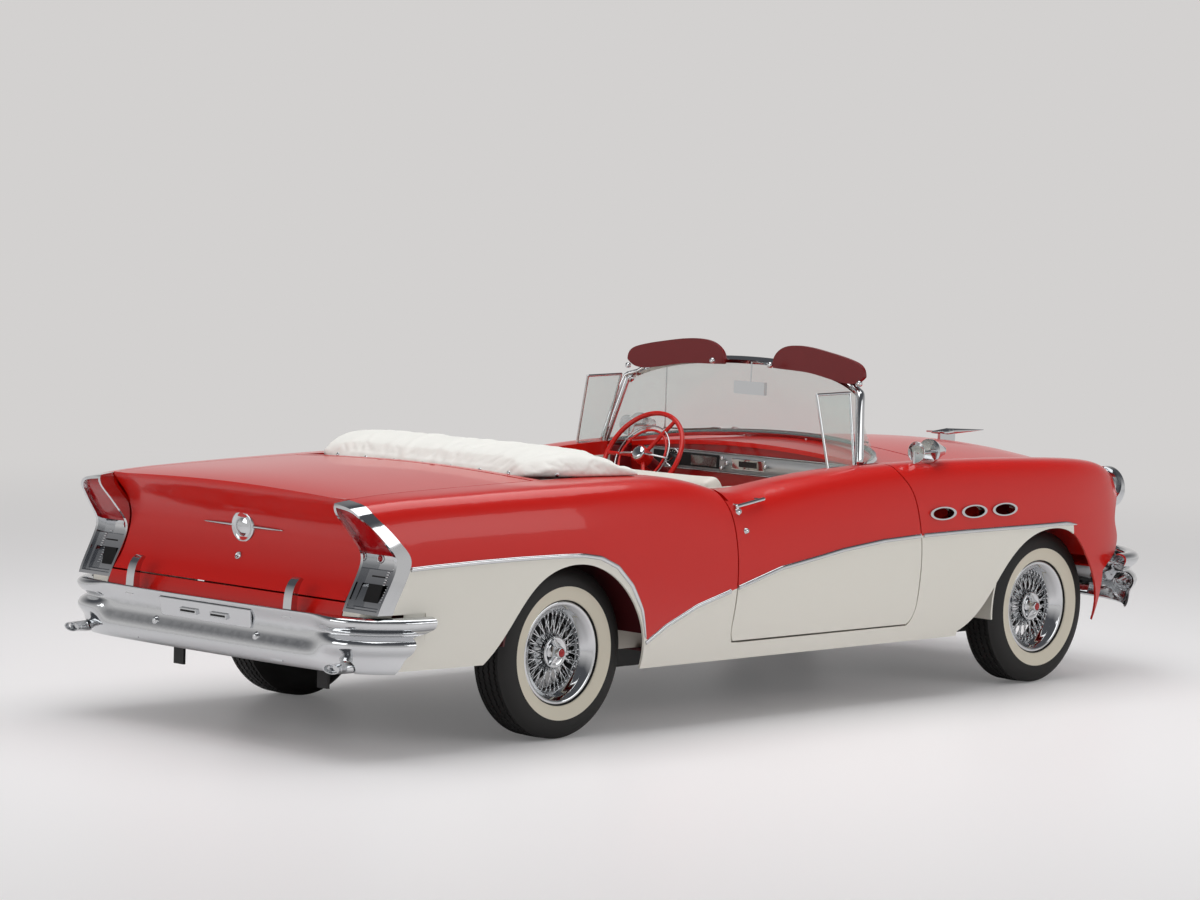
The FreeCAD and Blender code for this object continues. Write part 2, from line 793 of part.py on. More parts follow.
def hinge_strap(share):
    middle = up(share)
    low, high = middle - strap_height / 2, middle + strap_height / 2
    half = strap_thickness / 2
    inward = block((hinge_x - half, hinge_x + half), (hinge_y - strap_reach, hinge_y), (low, high))
    forward = block((hinge_x - half, post_x), (hinge_y - strap_reach, hinge_y - strap_reach + strap_thickness),
                    (low, high))
    knuckle = Part.makeCylinder(half, high - low, Vector(hinge_x, hinge_y, low))
    pin = Part.makeCylinder(size.pin_radius, hinge_height * 1.6, Vector(hinge_x, hinge_y, middle - hinge_height * 0.8))
    return inward.fuse([forward, knuckle, pin]).removeSplitter()


straps = [hinge_strap(share) for share in hinge_height_shares]
hinges = subpart(feature("door_hinges", Part.makeCompound(straps + [flip(strap) for strap in straps])))

# Hood, cowl, trunk lid and rear deck, with the pins that the lids turn on
lug_width = size.lid_thickness * 1.5
lug_y = across(0.16)
pin_depth = size.lid_thickness / 2
lid_pin_radius = size.lid_thickness * 0.2
pin_inset = size.lid_thickness * 0.4


def lid_hinge(edge_x, forward, net_top):
    """Lugs, pins and the notches that clear them, on an axis just inside a lid's edge."""
    axis_x = edge_x + forward * pin_inset
    axis_z = net_top - pin_depth
    lugs, notches, bores = [], [], []
    for side in (-1, 1):
        middle = side * lug_y
        ends = sorted((edge_x - forward * size.hinge_gap, axis_x))
        lug = block(ends, (middle - lug_width / 2, middle + lug_width / 2), (axis_z - pin_inset, axis_z + pin_inset))
        nose = Part.makeCylinder(pin_inset, lug_width, Vector(axis_x, middle - lug_width / 2, axis_z), Vector(0, 1, 0))
        pin = Part.makeCylinder(lid_pin_radius, lug_width * 2.4, Vector(axis_x, middle - lug_width * 1.2, axis_z),
                                Vector(0, 1, 0))
        lugs.append(lug.fuse([nose, pin]).removeSplitter())
        reach = pin_inset + size.running_clearance
        ends = sorted((edge_x - forward * size.hinge_gap, axis_x + forward * reach))
        half = lug_width / 2 + size.running_clearance
        notches.append(block(ends, (middle - half, middle + half), (axis_z - size.overrun / 2, axis_z + size.overrun)))
        bores.append(Part.makeCylinder(lid_pin_radius + size.pin_clearance, lug_width * 2.5,
                                       Vector(axis_x, middle - lug_width * 1.25, axis_z), Vector(0, 1, 0)))
    return lugs, notches, bores


def top_height(solid, x):
    """The height of a panel's top on the centre line."""
    line = Part.makeLine(Vector(x, 0, under_all), Vector(x, 0, over_all))
    return max(vertex.Z for vertex in line.common(solid).Vertexes)


hood_edge = cowl_front + size.hinge_gap
hood_top = top_height(hood_shell, hood_edge)
hood_lugs, hood_notches, hood_bores = lid_hinge(hood_edge, 1, hood_top)


def hood():
    shape = hood_shell.common(nose_keeper())
    shape = shape.cut(block((0, hood_edge), (-far_left, far_left), (under_all, over_all)))
    return shape.cut(hood_notches + hood_bores)


def cowl():
    shape = cowl_shell.common(block((cowl_rear, cowl_front), (-far_left, far_left), (under_all, over_all)))
    return shape.fuse(hood_lugs)


hood_piece = subpart(feature("hood", hood()))
cowl_shape = cowl()
cowl_piece = subpart(feature("cowl", cowl_shape))

lid_front = along(-0.06)
lid_low = up(0.434)
deck_front = along(-0.015)
trunk_floor = floor_bottom + size.axle_rise - size.sheet_thickness * 2.5
lid_top = top_height(lid_shell, lid_front)
lid_lugs, lid_notches, lid_bores = lid_hinge(lid_front, -1, lid_top)


def tail_plate(shares, half, z_start, z_end):
    """A plate that follows a profile of the tail between two heights."""
    plate = tail_keeper(0.0, shares).cut(tail_keeper(size.lid_thickness, shares))
    return plate.common(block((tail_end, along(-0.6)), (-half, half), (z_start, z_end)))


def trunk_lid():
    half = lamp_inner_y - size.lid_gap
    top = lid_shell.common(tail_keeper(0.0, lid_back_shares))
    top = top.cut(block((lid_front, along(0.4)), (-far_left, far_left), (under_all, over_all)))
    back = tail_plate(lid_back_shares, half, lid_low, up(0.935))
    return largest(top.fuse(back).cut(lid_notches + lid_bores))


def deck():
    shape = deck_shell.common(block((lid_front + size.hinge_gap, deck_front), (-far_left, far_left),
                                    (under_all, over_all)))
    wall = block((lid_front + size.hinge_gap, lid_front + size.hinge_gap + size.sheet_thickness),
                 (-across(0.72), across(0.72)), (trunk_floor + size.sheet_thickness, over_all))
    wall = wall.cut(above(deck_under))
    for side in (0, 1):
        house = cross_drum(size.wheelhouse_radius, far_left,
                           Vector(rear_axle_x, size.frame_half_width + size.rail_width, size.tyre_radius))
        wall = wall.cut(flip(house) if side else house)
    return shape.fuse([wall] + lid_lugs)


lid = subpart(feature("trunk_lid", trunk_lid()))
deck_shape = deck()
deck_piece = subpart(feature("rear_deck", deck_shape))
valance = tail_plate(tail_shares, lamp_inner_y, up(0.12), lid_low - size.panel_gap)
arm_gap = size.running_clearance
for ends in ((size.frame_half_width - size.rail_width, size.frame_half_width),
             (-size.frame_half_width, size.rail_width - size.frame_half_width)):
    valance = valance.cut(block((tail_end, 0), (ends[0] - arm_gap, ends[1] + arm_gap),
                                (under_all, size.frame_clearance + size.axle_rise * 0.65 + size.rail_width + arm_gap)))
valance_piece = subpart(feature("rear_valance", valance))


# Front panel with the grille opening
grille_low = up(0.40)
grille_high = up(0.75)
grille_half = across(0.52)


def front_panel():
    plate = nose_keeper(-size.panel_gap).cut(nose_keeper(-size.panel_gap - size.lid_thickness))
    plate = plate.common(block((along(1.4), nose_end), (-across(0.594), across(0.594)), (up(0.30), up(0.80))))
    plate = plate.cut(block((along(1.4), nose_end), (-grille_half, grille_half), (grille_low, grille_high)))
    legs = []
    for side in (1, -1):
        y_range = sorted(((size.frame_half_width - size.rail_width) * side, size.frame_half_width * side))
        legs.append(block((along(1.60), along(1.62)), y_range, (floor_bottom, up(0.32))))
        shelf = block((along(1.60), nose_end), y_range, (up(0.30), up(0.32)))
        legs.append(shelf.common(nose_keeper(-size.panel_gap - size.lid_thickness / 2)))
    return plate.fuse(legs)


front_panel_piece = subpart(feature("front_panel", front_panel()))


def grille():
    """Upright rounded bars between two rails, behind the plan curve of the nose."""
    depth = size.lid_thickness * 0.8
    band = nose_keeper(-size.panel_gap).cut(nose_keeper(-size.panel_gap - depth))
    rails = []
    bar = size.skin * 1.2
    middle = (grille_low + grille_high) / 2
    for low in (grille_low, grille_high - bar, middle - bar):
        rails.append(band.common(block((along(1.4), nose_end), (-grille_half, grille_half), (low, low + bar * 1.2))))
    count = 20
    for index in range(count + 1):
        y = -grille_half + bar / 2 + (2 * grille_half - bar) * index / count
        slot = block((along(1.4), nose_end), (y - bar / 2, y + bar / 2), (grille_low, grille_high))
        rails.append(band.common(slot))
    whole = rails[0].fuse(rails[1:])
    return whole.common(block((along(1.4), nose_end), (-grille_half, grille_half), (grille_low, grille_high)))


grille_piece = subpart(feature("grille", grille()))

# Chassis frame: two side rails that rise over the rear axle, with cross members
def origin_plane(body, role):
    return next(item for item in body.Origin.OriginFeatures if item.Role == role)


def outline_sketch(body, role, corners, name="outline"):
    """A closed outline whose corners are bound to the sheet."""
    sketch = body.newObject("Sketcher::SketchObject", name)
    sketch.AttachmentSupport = [(origin_plane(body, role), "")]
    sketch.MapMode = "FlatFace"
    count = len(corners)
    points = [Vector(float(x), float(y), 0) for x, y in corners]
    for index in range(count):
        sketch.addGeometry(Part.LineSegment(points[index], points[(index + 1) % count]), False)
    for index in range(count):
        sketch.addConstraint(Sketcher.Constraint("Coincident", index, 2, (index + 1) % count, 1))
    for index, corner in enumerate(corners):
        for kind, axis, value in (("DistanceX", -2, corner[0]), ("DistanceY", -1, corner[1])):
            if float(value) == 0.0:
                sketch.addConstraint(Sketcher.Constraint("PointOnObject", index, 1, axis))
                continue
            number = sketch.addConstraint(Sketcher.Constraint(kind, -1, 1, index, 1, float(value)))
            if isinstance(value, Rule):
                sketch.setExpression(f"Constraints[{number}]", value.text)
    return sketch


def padded(name, role, corners, length):
    """An outline given an even thickness to both sides of its plane."""
    body = doc.addObject("PartDesign::Body", name)
    sketch = outline_sketch(body, role, corners)
    pad = body.newObject("PartDesign::Pad", f"{name}_pad")
    pad.Profile = sketch
    pad.SideType = "Symmetric"
    bind(pad, "Length", length)
    sketch.Visibility = False
    return body


def turned(name, corners):
    """An outline in the wheel's own section, turned about the axle line along Y."""
    body = doc.addObject("PartDesign::Body", name)
    sketch = outline_sketch(body, "YZ_Plane", corners)
    turn = body.newObject("PartDesign::Revolution", f"{name}_turn")
    turn.Profile = sketch
    turn.ReferenceAxis = (sketch, ["H_Axis"])
    turn.Angle = 360.0
    return body


rail_low = size.frame_clearance
kick_low = rail_low + size.axle_rise
rear_low = rail_low + size.axle_rise * 0.65
kick_high = kick_low + size.kicked_rail_height
rail_corners = [
    (along(-0.76), rear_low), (along(-0.36), rear_low), (along(-0.15), kick_low), (along(0.12), kick_low),
    (along(0.19), rail_low), (along(1.62), rail_low), (along(1.62), floor_bottom), (along(0.172), floor_bottom),
    (along(0.10), kick_high), (along(-0.14), kick_high), (along(-0.34), kick_high - size.axle_rise * 0.2),
    (along(-0.76), kick_high - size.axle_rise * 0.2),
]
rail_y = size.frame_half_width - size.rail_width / 2
rails = []
for side, name in ((1, "rail_left"), (-1, "rail_right")):
    rail = padded(name, "XZ_Plane", rail_corners, size.rail_width)
    place(rail, Rule(0), rail_y * side, Rule(0))
    rails.append(rail)
inner = size.frame_half_width - size.rail_width
members = []
for index, share in enumerate((0.24, 0.45, 0.68, 1.0, 1.56)):
    x = along(share)
    members.append(box(f"cross_member_{index}", (x - size.rail_width, x + size.rail_width), (-inner, inner),
                       (rail_low, rail_low + size.rail_height / 2)))
tail_member = box("tail_member", (along(-0.76), along(-0.76) + size.rail_width), (-inner, inner),
                  (rear_low, rear_low + size.rail_width))
axle_member = box("axle_member", (along(0.07), along(0.07) + size.rail_width), (-inner, inner),
                  (kick_low, kick_low + size.rail_width))
frame = subpart(fuse("chassis_frame", rails + members + [tail_member, axle_member]))

# Floor pan, heel board, trunk floor and rear wheelhouses
heel_x = along(0.177)
floor_half = across(0.80)
trunk_half = across(0.70)
front_floor = box("front_floor", (heel_x, firewall_x), (-floor_half, floor_half), (floor_bottom, floor_top))
tunnel = box("tunnel", (heel_x, firewall_x), (-size.tunnel_width / 2, size.tunnel_width / 2),
             (floor_bottom, floor_bottom + size.tunnel_height))
tunnel_room = box("tunnel_room", (heel_x - size.overrun, firewall_x + size.overrun),
                  (size.sheet_thickness - size.tunnel_width / 2, size.tunnel_width / 2 - size.sheet_thickness),
                  (floor_bottom - size.overrun, floor_bottom + size.tunnel_height - size.sheet_thickness))
heel = box("heel_board", (heel_x - size.sheet_thickness, heel_x), (-trunk_half, trunk_half),
           (floor_bottom, trunk_floor + size.sheet_thickness))
rear_floor = feature("rear_floor", block((tail_end, heel_x), (-trunk_half, trunk_half),
                                         (trunk_floor, trunk_floor + size.sheet_thickness))
                     .common(tail_keeper(size.lid_thickness)))


def wheelhouse_pair():
    house = wheelhouse(rear_axle_x, size.wheelhouse_radius, size.frame_half_width + size.rail_width, size.tyre_radius)
    disc = cross_drum(size.wheelhouse_radius, size.skin,
                      Vector(rear_axle_x, size.frame_half_width + size.rail_width, size.tyre_radius))
    disc = disc.cut(block((tail_end, nose_end), (0, far_left), (under_all, trunk_floor)))
    house = house.cut(block((tail_end, nose_end), (0, far_left), (under_all, size.tyre_radius + size.rail_width)))
    side = house.fuse(disc)
    return Part.makeCompound([side, flip(side)])


houses = feature("rear_wheelhouses", wheelhouse_pair())
wheel_room = feature("wheel_room", cross_drum(
    size.wheelhouse_radius - size.skin, far_left,
    Vector(rear_axle_x, size.frame_half_width + size.rail_width + size.skin, size.tyre_radius)))
wheel_room_right = mirrored("wheel_room_right", wheel_room)
pan = fuse("pan", [front_floor, tunnel, heel, rear_floor, houses])
floor_pan = subpart(cut("floor_pan", cut("pan_tunnel", cut("pan_left", pan, wheel_room), wheel_room_right),
                        tunnel_room))

# Firewall with kick panels and hinge posts
kick_y = door_inner_y - size.panel_gap * 3.5
post_end = post_x + size.rail_width * 1.3


def beside_cabin():
    """What lies outside the inner face of the left fender's shell."""
    net = offset_net(side_net, size.skin + size.seat_clearance)
    inside = block_between(net, [core_section(section) for section in net])
    return block((0, nose_end), (across(0.685), far_left), (floor_top, over_all)).cut(inside)


outside_left = beside_cabin()
over_cabin = [above(cowl_under), cowl_shape, cowl_shape.translated(Vector(0, 0, -size.seat_clearance))]


def firewall():
    wall = block((firewall_x - size.sheet_thickness, firewall_x), (-trim_y, trim_y), (floor_top, over_all))
    wall = carve(wall, over_cabin + [outside_left, flip(outside_left)])
    half_tunnel = size.tunnel_width / 2
    wall = wall.cut(block((0, nose_end), (-half_tunnel, half_tunnel), (under_all, floor_bottom + size.tunnel_height)))
    parts = [wall]
    for side in (1, -1):
        kick = block((pillar_start + size.running_clearance * 2, firewall_x),
                     (kick_y, kick_y + size.sheet_thickness), (floor_top, up(0.92)))
        post = block((post_x, post_end), (kick_y, hinge_y - size.rail_width), (sill_top, up(0.90)))
        cap = block((pillar_start + size.running_clearance * 2, post_x), (kick_y, door_front_y - size.running_clearance * 4),
                    (up(0.92), up(0.95)))
        for piece in (kick, post, cap):
            parts.append(piece if side == 1 else flip(piece))
    shape = parts[0].fuse(parts[1:])
    return shape.removeSplitter()


firewall_piece = subpart(feature("firewall", firewall()))

# Wheels and tyres
rim_inner = size.rim_radius - size.rail_width / 2
bead_radius = size.rim_radius - size.rail_width * 0.3
half_tyre = size.tyre_width / 2
half_rim = size.rim_width / 2
tyre_corners = [
    (-half_rim * 0.92, bead_radius + size.seat_clearance), (half_rim * 0.92, bead_radius + size.seat_clearance),
    (half_rim * 0.92, size.rim_radius + size.seat_clearance), (half_tyre * 0.93, size.rim_radius * 1.08),
    (half_tyre, (size.rim_radius + size.tyre_radius) / 2), (half_tyre * 0.95, size.tyre_radius * 0.90),
    (half_tyre * 0.84, size.tyre_radius * 0.96), (half_tyre * 0.66, size.tyre_radius * 0.992),
    (half_tyre * 0.3, size.tyre_radius), (-half_tyre * 0.3, size.tyre_radius),
    (-half_tyre * 0.66, size.tyre_radius * 0.992), (-half_tyre * 0.84, size.tyre_radius * 0.96),
    (-half_tyre * 0.95, size.tyre_radius * 0.90), (-half_tyre, (size.rim_radius + size.tyre_radius) / 2),
    (-half_tyre * 0.93, size.rim_radius * 1.08), (-half_rim * 0.92, size.rim_radius + size.seat_clearance),
]
lip = size.skin * 0.4
rim_corners = [
    (-half_rim * 0.92, bead_radius), (half_rim * 0.92, bead_radius), (half_rim * 0.92, size.rim_radius),
    (half_rim, size.rim_radius), (half_rim, bead_radius - lip), (half_rim * 0.5, rim_inner),
    (-half_rim * 0.5, rim_inner), (-half_rim, bead_radius - lip), (-half_rim, size.rim_radius),
    (-half_rim * 0.92, size.rim_radius),
]
hub_end = size.hub_cap_reach
hub_corners = [
    (-half_rim * 0.3, size.spindle_radius + size.pin_clearance), (-half_rim * 0.3, size.hub_radius * 1.1),
    (-half_rim * 0.1, size.hub_radius * 1.1), (half_rim * 0.1, size.hub_radius * 0.75),
    (hub_end * 0.55, size.hub_radius * 0.75), (hub_end * 0.60, size.hub_radius),
    (hub_end * 0.72, size.hub_radius * 0.92), (hub_end * 0.80, size.hub_radius * 0.5),
    (hub_end * 1.35, size.hub_radius * 0.42), (hub_end * 1.45, size.hub_radius * 0.2),
    (hub_end * 1.45, 0), (hub_end * 0.6, 0), (hub_end * 0.6, size.spindle_radius + size.pin_clearance),
]
spoke_count = 36


def spokes():
    """Two rows of crossed wires from the hub to the rim, built as square rods."""
    rods = []
    for index in range(spoke_count):
        angle = 2 * math.pi * index / spoke_count
        row = index % 2
        swing = math.radians(22) * (1 if index % 4 < 2 else -1)
        hub_side = size.hub_radius * (0.85 if row else 1.0)
        near = Vector(hub_side * math.sin(angle + swing), hub_end * 0.5 if row else -half_rim * 0.2,
                      hub_side * math.cos(angle + swing))
        far_side = (rim_inner + bead_radius) / 2
        far = Vector(far_side * math.sin(angle), half_rim * (0.35 if row else -0.1), far_side * math.cos(angle))
        run = far - near
        half = size.spoke_thickness / 2
        rod = Part.makeBox(2 * half, 2 * half, run.Length, Vector(-half, -half, 0))
        rod.Placement = FreeCAD.Placement(near, FreeCAD.Rotation(Vector(0, 0, 1), run))
        rods.append(rod)
    return rods


def wheel_shape():
    rim = turned("rim_section", rim_corners)
    hub = turned("hub_section", hub_corners)
    doc.recompute()
    centre = hub.Shape.fuse(spokes() + [rim.Shape])
    return centre


wheel_source = wheel_shape()
tyre_source = turned("tyre_section", tyre_corners)
doc.recompute()
corner_places = [("front_left", front_axle_x, 1), ("front_right", front_axle_x, -1),
                 ("rear_left", rear_axle_x, 1), ("rear_right", rear_axle_x, -1)]
for name, x, side in corner_places:
    for kind, source in (("tyre", tyre_source.Shape), ("wheel", wheel_source)):
        piece = feature(f"{kind}_{name}", source.copy())
        piece.Placement = FreeCAD.Placement(Vector(), FreeCAD.Rotation(Vector(0, 0, 1), 0 if side == 1 else 180))
        place(piece, x, wheel_y * side, size.tyre_radius)
        subpart(piece)

# Front suspension, knuckles and rear axle
kingpin_y = wheel_y - size.kingpin_inset
knuckle_low = size.tyre_radius - size.knuckle_height / 2
knuckle_high = size.tyre_radius + size.knuckle_height / 2
pin_low = knuckle_low - size.running_clearance - size.arm_thickness
pin_high = knuckle_high + size.running_clearance + size.arm_thickness
arm_half = size.arm_width / 2
suspension_parts = []
for side, name in ((1, "left"), (-1, "right")):
    near, far = size.frame_half_width, kingpin_y + arm_half * 0.8
    y_range = (near, far) if side == 1 else (-far, -near)
    suspension_parts.append(box(f"lower_arm_{name}", (front_axle_x - arm_half, front_axle_x + arm_half), y_range,
                                (pin_low, pin_low + size.arm_thickness)))
    tower_y = (inner, far) if side == 1 else (-far, -inner)
    suspension_parts.append(box(f"upper_arm_{name}", (front_axle_x - arm_half, front_axle_x + arm_half), tower_y,
                                (pin_high - size.arm_thickness, pin_high)))
    suspension_parts.append(cylinder(f"kingpin_{name}", size.kingpin_radius, pin_high - pin_low,
                                     (front_axle_x, kingpin_y * side, pin_low)))
    post_y = (inner, near) if side == 1 else (-near, -inner)
    suspension_parts.append(box(f"tower_{name}", (front_axle_x - arm_half, front_axle_x + arm_half), post_y,
                                (floor_bottom, pin_high)))
    spindle_base = (front_axle_x, kingpin_y * side, size.tyre_radius)
    block_piece = box(f"knuckle_block_{name}",
                      (front_axle_x - size.knuckle_width / 2, front_axle_x + size.knuckle_width / 2),
                      (kingpin_y * side - size.knuckle_width / 2, kingpin_y * side + size.knuckle_width / 2),
                      (knuckle_low, knuckle_high))
    turn = -90.0 if side == 1 else 90.0
    spindle = cylinder(f"spindle_{name}", size.spindle_radius, size.kingpin_inset + hub_end * 0.5, spindle_base,
                       (1, 0, 0), turn)
    drum = cylinder(f"brake_backing_{name}", size.brake_radius * 0.7, size.sheet_thickness,
                    (front_axle_x, (kingpin_y + size.knuckle_width / 2) * side, size.tyre_radius), (1, 0, 0), turn)
    knuckle = fuse(f"knuckle_solid_{name}", [block_piece, spindle, drum])
    bore = cylinder(f"kingpin_bore_{name}", size.kingpin_radius + size.pin_clearance, size.overrun,
                    (front_axle_x, kingpin_y * side, size.tyre_radius - size.overrun / 2))
    subpart(cut(f"knuckle_{name}", knuckle, bore))
subpart(fuse("front_suspension", suspension_parts))

axle_half = wheel_y - size.kingpin_inset
axle_parts = [
    cylinder("axle_tube", size.axle_tube_radius, axle_half * 2, (rear_axle_x, -axle_half, size.tyre_radius),
             (1, 0, 0), -90.0),
    cylinder("axle_stub", size.spindle_radius, (wheel_y + hub_end * 0.5) * 2,
             (rear_axle_x, -(wheel_y + hub_end * 0.5), size.tyre_radius), (1, 0, 0), -90.0),
]
differential = doc.addObject("Part::Sphere", "differential")
bind(differential, "Radius", size.differential_radius)
axle_parts.append(place(differential, rear_axle_x, Rule(0), size.tyre_radius))
for side, name in ((1, "left"), (-1, "right")):
    axle_parts.append(cylinder(f"coil_{name}", size.spring_radius, kick_low - size.tyre_radius,
                               (rear_axle_x, rail_y * side, size.tyre_radius)))
    axle_parts.append(cylinder(f"brake_{name}", size.brake_radius, size.brake_width,
                               (rear_axle_x, axle_half * side, size.tyre_radius), (1, 0, 0),
                               90.0 if side == 1 else -90.0))
subpart(fuse("rear_axle", axle_parts))

# Engine, transmission and shaft, radiator, tank and exhaust
engine_front = front_axle_x + size.rail_width * 4
engine_low = rail_low + size.rail_height / 2
engine_parts = [
    box("engine_body", (engine_front - size.engine_length, engine_front),
        (-size.engine_width / 2, size.engine_width / 2),
        (engine_low, engine_low + size.engine_height)),
]
subpart(fuse("engine_block", engine_parts + [
    box("gearbox", (firewall_x - size.engine_length * 0.6, engine_front - size.engine_length),
        (-size.tunnel_width * 0.35, size.tunnel_width * 0.35), (engine_low, engine_low + size.tunnel_width * 0.55))]))
subpart(box("radiator", (along(1.52), along(1.52) + size.rail_width), (-inner, inner),
            (rail_low + size.rail_height / 2, up(0.78))))
subpart(box("fuel_tank", (along(-0.70), along(-0.36)), (-inner * 0.9, inner * 0.9),
            (rear_low - size.rail_width / 2, trunk_floor)))
tip_start = along(-0.947)


def exhaust_tip(side):
    """A mouth that flares from the round pipe to a flat oval, with its opening sunk in."""
    middle = Vector(tip_start, pipe_y * side, pipe_z)
    back = Vector(-1, 0, 0)
    start = Part.Wire(Part.makeCircle(pipe_radius, middle, back))
    mouths = []
    for grow in (1.0, 0.86):
        oval = Part.Ellipse(Vector(0, 0, 0), size.exhaust_tip_width / 2 * grow, pipe_radius * 0.85 * grow).toShape()
        oval.rotate(Vector(0, 0, 0), Vector(0, 0, 1), 90)
        oval.rotate(Vector(0, 0, 0), Vector(0, 1, 0), -90)
        oval.translate(Vector(along(-1.0), middle.y, middle.z))
        mouths.append(Part.Wire(oval))
    flare = Part.makeLoft([start, mouths[0]], True)
    sunk = Part.Face(mouths[1]).extrude(Vector(size.exhaust_tip_width / 4, 0, 0))
    return flare.cut(sunk)


exhaust_parts = []
for side, name in ((1, "left"), (-1, "right")):
    exhaust_parts.append(cylinder(f"tail_pipe_{name}", pipe_radius, along(-0.5) - tip_start,
                                  (tip_start, pipe_y * side, pipe_z), (0, 1, 0), 90.0))
    exhaust_parts.append(feature(f"exhaust_tip_{name}", exhaust_tip(side)))
    y_range = (size.frame_half_width, pipe_y) if side == 1 else (-pipe_y, -size.frame_half_width)
    exhaust_parts.append(box(f"hanger_{name}", (along(-0.52), along(-0.5)), y_range,
                             (pipe_z - pipe_radius / 2, pipe_z + pipe_radius / 2)))
exhaust = subpart(fuse("exhaust", exhaust_parts))


# Bumpers: rows along the plan curve carry a section that swells into two wings at each end
# Height share, swell in the middle and swell at the wings, as shares of the wing's size, from the lower lip up
bumper_section_shares = [
    (0.0, -lip_share, -lip_share), (0.03, 0.0, -0.1), (0.15, 0.38, 0.15), (0.30, 0.38, 0.2), (0.39, 0.2, 0.7),
    (0.50, -0.15, 1.0), (0.61, -0.2, 0.7), (0.68, -0.2, -0.25), (0.75, -0.2, 0.6), (0.87, 0.1, 1.1),
    (0.97, 0.4, 0.9), (1.0, 0.3, 0.2), (0.985, -lip_share, -lip_share),
]
wing_start = across(0.66)
wing_full = across(0.74)
bumper_rows = 36


def bumper_net(shares, toward, low, high, inward):
    """A net of the bumper's face, or of its back when moved inward by the wall."""
    curve = plan_curve(shares)
    first, last = curve.FirstParameter, curve.LastParameter
    net = []
    for row in range(bumper_rows + 1):
        middle, outward = outward_at(curve, first + (last - first) * row / bumper_rows, toward)
        wing = min(1.0, max(0.0, (abs(middle.y) - wing_start) / (wing_full - wing_start)))
        line = []
        for height, plain, winged in bumper_section_shares:
            swell = size.bumper_wing * (plain + (winged - plain) * wing) - inward
            rise = low + inward + (high - low - 2 * inward) * height
            line.append(middle + outward * float(swell) + Vector(0, 0, rise))
        net.append(line)
    return net


wing_end_shares = [(0.0, 1.2), (0.0, 0.78), (0.013, 0.70), (0.073, 0.64), (0.083, 0.36), (0.098, 0.25),
                   (0.128, -0.2)]


def bumper(shares, toward, low, high):
    plate = block_between(bumper_net(shares, toward, low, high, 0.0),
                          bumper_net(shares, toward, low, high, size.bumper_wall))
    end = along(shares[0][0])
    reach = size.rear_overhang
    run = [(end + toward * reach * share, low + (high - low) * height) for share, height in wing_end_shares]
    inside = end - toward * reach * 0.5
    corners = [Vector(x, -far_left, z) for x, z in run + [(inside, run[-1][1]), (inside, run[0][1])]]
    beyond = Part.Face(Part.makePolygon(corners + corners[:1])).extrude(Vector(0, far_left * 2, 0))
    return largest(plate.cut(beyond))


def bumper_bracket(frame_end, shares, toward, z_low, z_high):
    arms = []
    for side in (1, -1):
        ends = sorted((frame_end, toward * size.wheelbase))
        y_range = sorted((inner * side, size.frame_half_width * side))
        arm = block(ends, y_range, (z_low, z_high))
        arms.append(arm.common(bumper_room(shares, toward, -size.bumper_wall)))
        foot = sorted((frame_end, frame_end + toward * size.sheet_thickness))
        arms.append(block(foot, y_range, (min(z_low, rail_low + size.rail_width / 2), z_high)))
    return arms


def front_guards(reach_x, low):
    """Two upright rounded guards on the bumper's face."""
    posts = []
    for side in (1, -1):
        base = Vector(reach_x, across(0.49) * side, low)
        post = Part.makeCylinder(size.guard_radius, size.guard_height, base)
        cap = Part.makeSphere(size.guard_radius, base + Vector(0, 0, size.guard_height))
        posts.append(post.fuse(cap))
    return posts


guard_back_shares = [(-0.966, 0.33), (-0.9605, 0.428), (-0.945, 0.497), (-0.922, 0.527)]
guard_front_shares = [(-0.911, 0.519), (-0.927, 0.484), (-0.9355, 0.428), (-0.938, 0.33)]


def rear_guards():
    """Two narrow blades that rise from the bumper's top and hook forward."""
    runs = [[(along(u), up(v)) for u, v in shares] for shares in (guard_back_shares, guard_front_shares)]
    blade = side_prism(runs, across(0.49) - size.guard_width / 2, across(0.49) + size.guard_width / 2)
    return [blade, flip(blade)]


def rear_bumper():
    low, high = up(0.09), up(0.376)
    plate = bumper(rear_bumper_shares, -1, low, high)
    arms = bumper_bracket(along(-0.76), rear_bumper_shares, -1, low + size.bumper_wall * 2, rear_low + size.rail_width)
    shape = plate.fuse(arms + rear_guards())
    for side in (1, -1):
        slot = plate_slot(side)
        shape = shape.cut(slot)
    return shape.cut(pipe_room())


plate_z = up(0.285)


def plate_slot(side):
    """One long slot where the licence plate is bolted."""
    straight = size.plate_slot_length - size.plate_slot_height
    middle = Vector(along(-1.2), side * size.plate_slot_spacing / 2, plate_z)
    bar = block((along(-1.1), along(-0.9)), (middle.y - straight / 2, middle.y + straight / 2),
                (plate_z - size.plate_slot_height / 2, plate_z + size.plate_slot_height / 2))
    ends = []
    for end in (-1, 1):
        ends.append(Part.makeCylinder(size.plate_slot_height / 2, along(-0.9) - along(-1.1),
                                      Vector(along(-1.1), middle.y + end * straight / 2, plate_z), Vector(1, 0, 0)))
    return bar.fuse(ends)


subpart(feature("bumper_rear", rear_bumper()))


def front_bumper():
    low, high = up(0.06), up(0.40)
    plate = bumper(front_bumper_shares, 1, low, high)
    arms = bumper_bracket(along(1.62), front_bumper_shares, 1, low + size.bumper_wall * 2, low + size.rail_width)
    return plate.fuse(arms + front_guards(along(1.925), up(0.28)))


subpart(feature("bumper_front", front_bumper()))


# Tail lamps: a bent housing with a rim, a sunk lens above the bend and a reflector stud at it
lens_low = up(0.665)
stud_y = across(0.79)
stud_z = up(0.645)


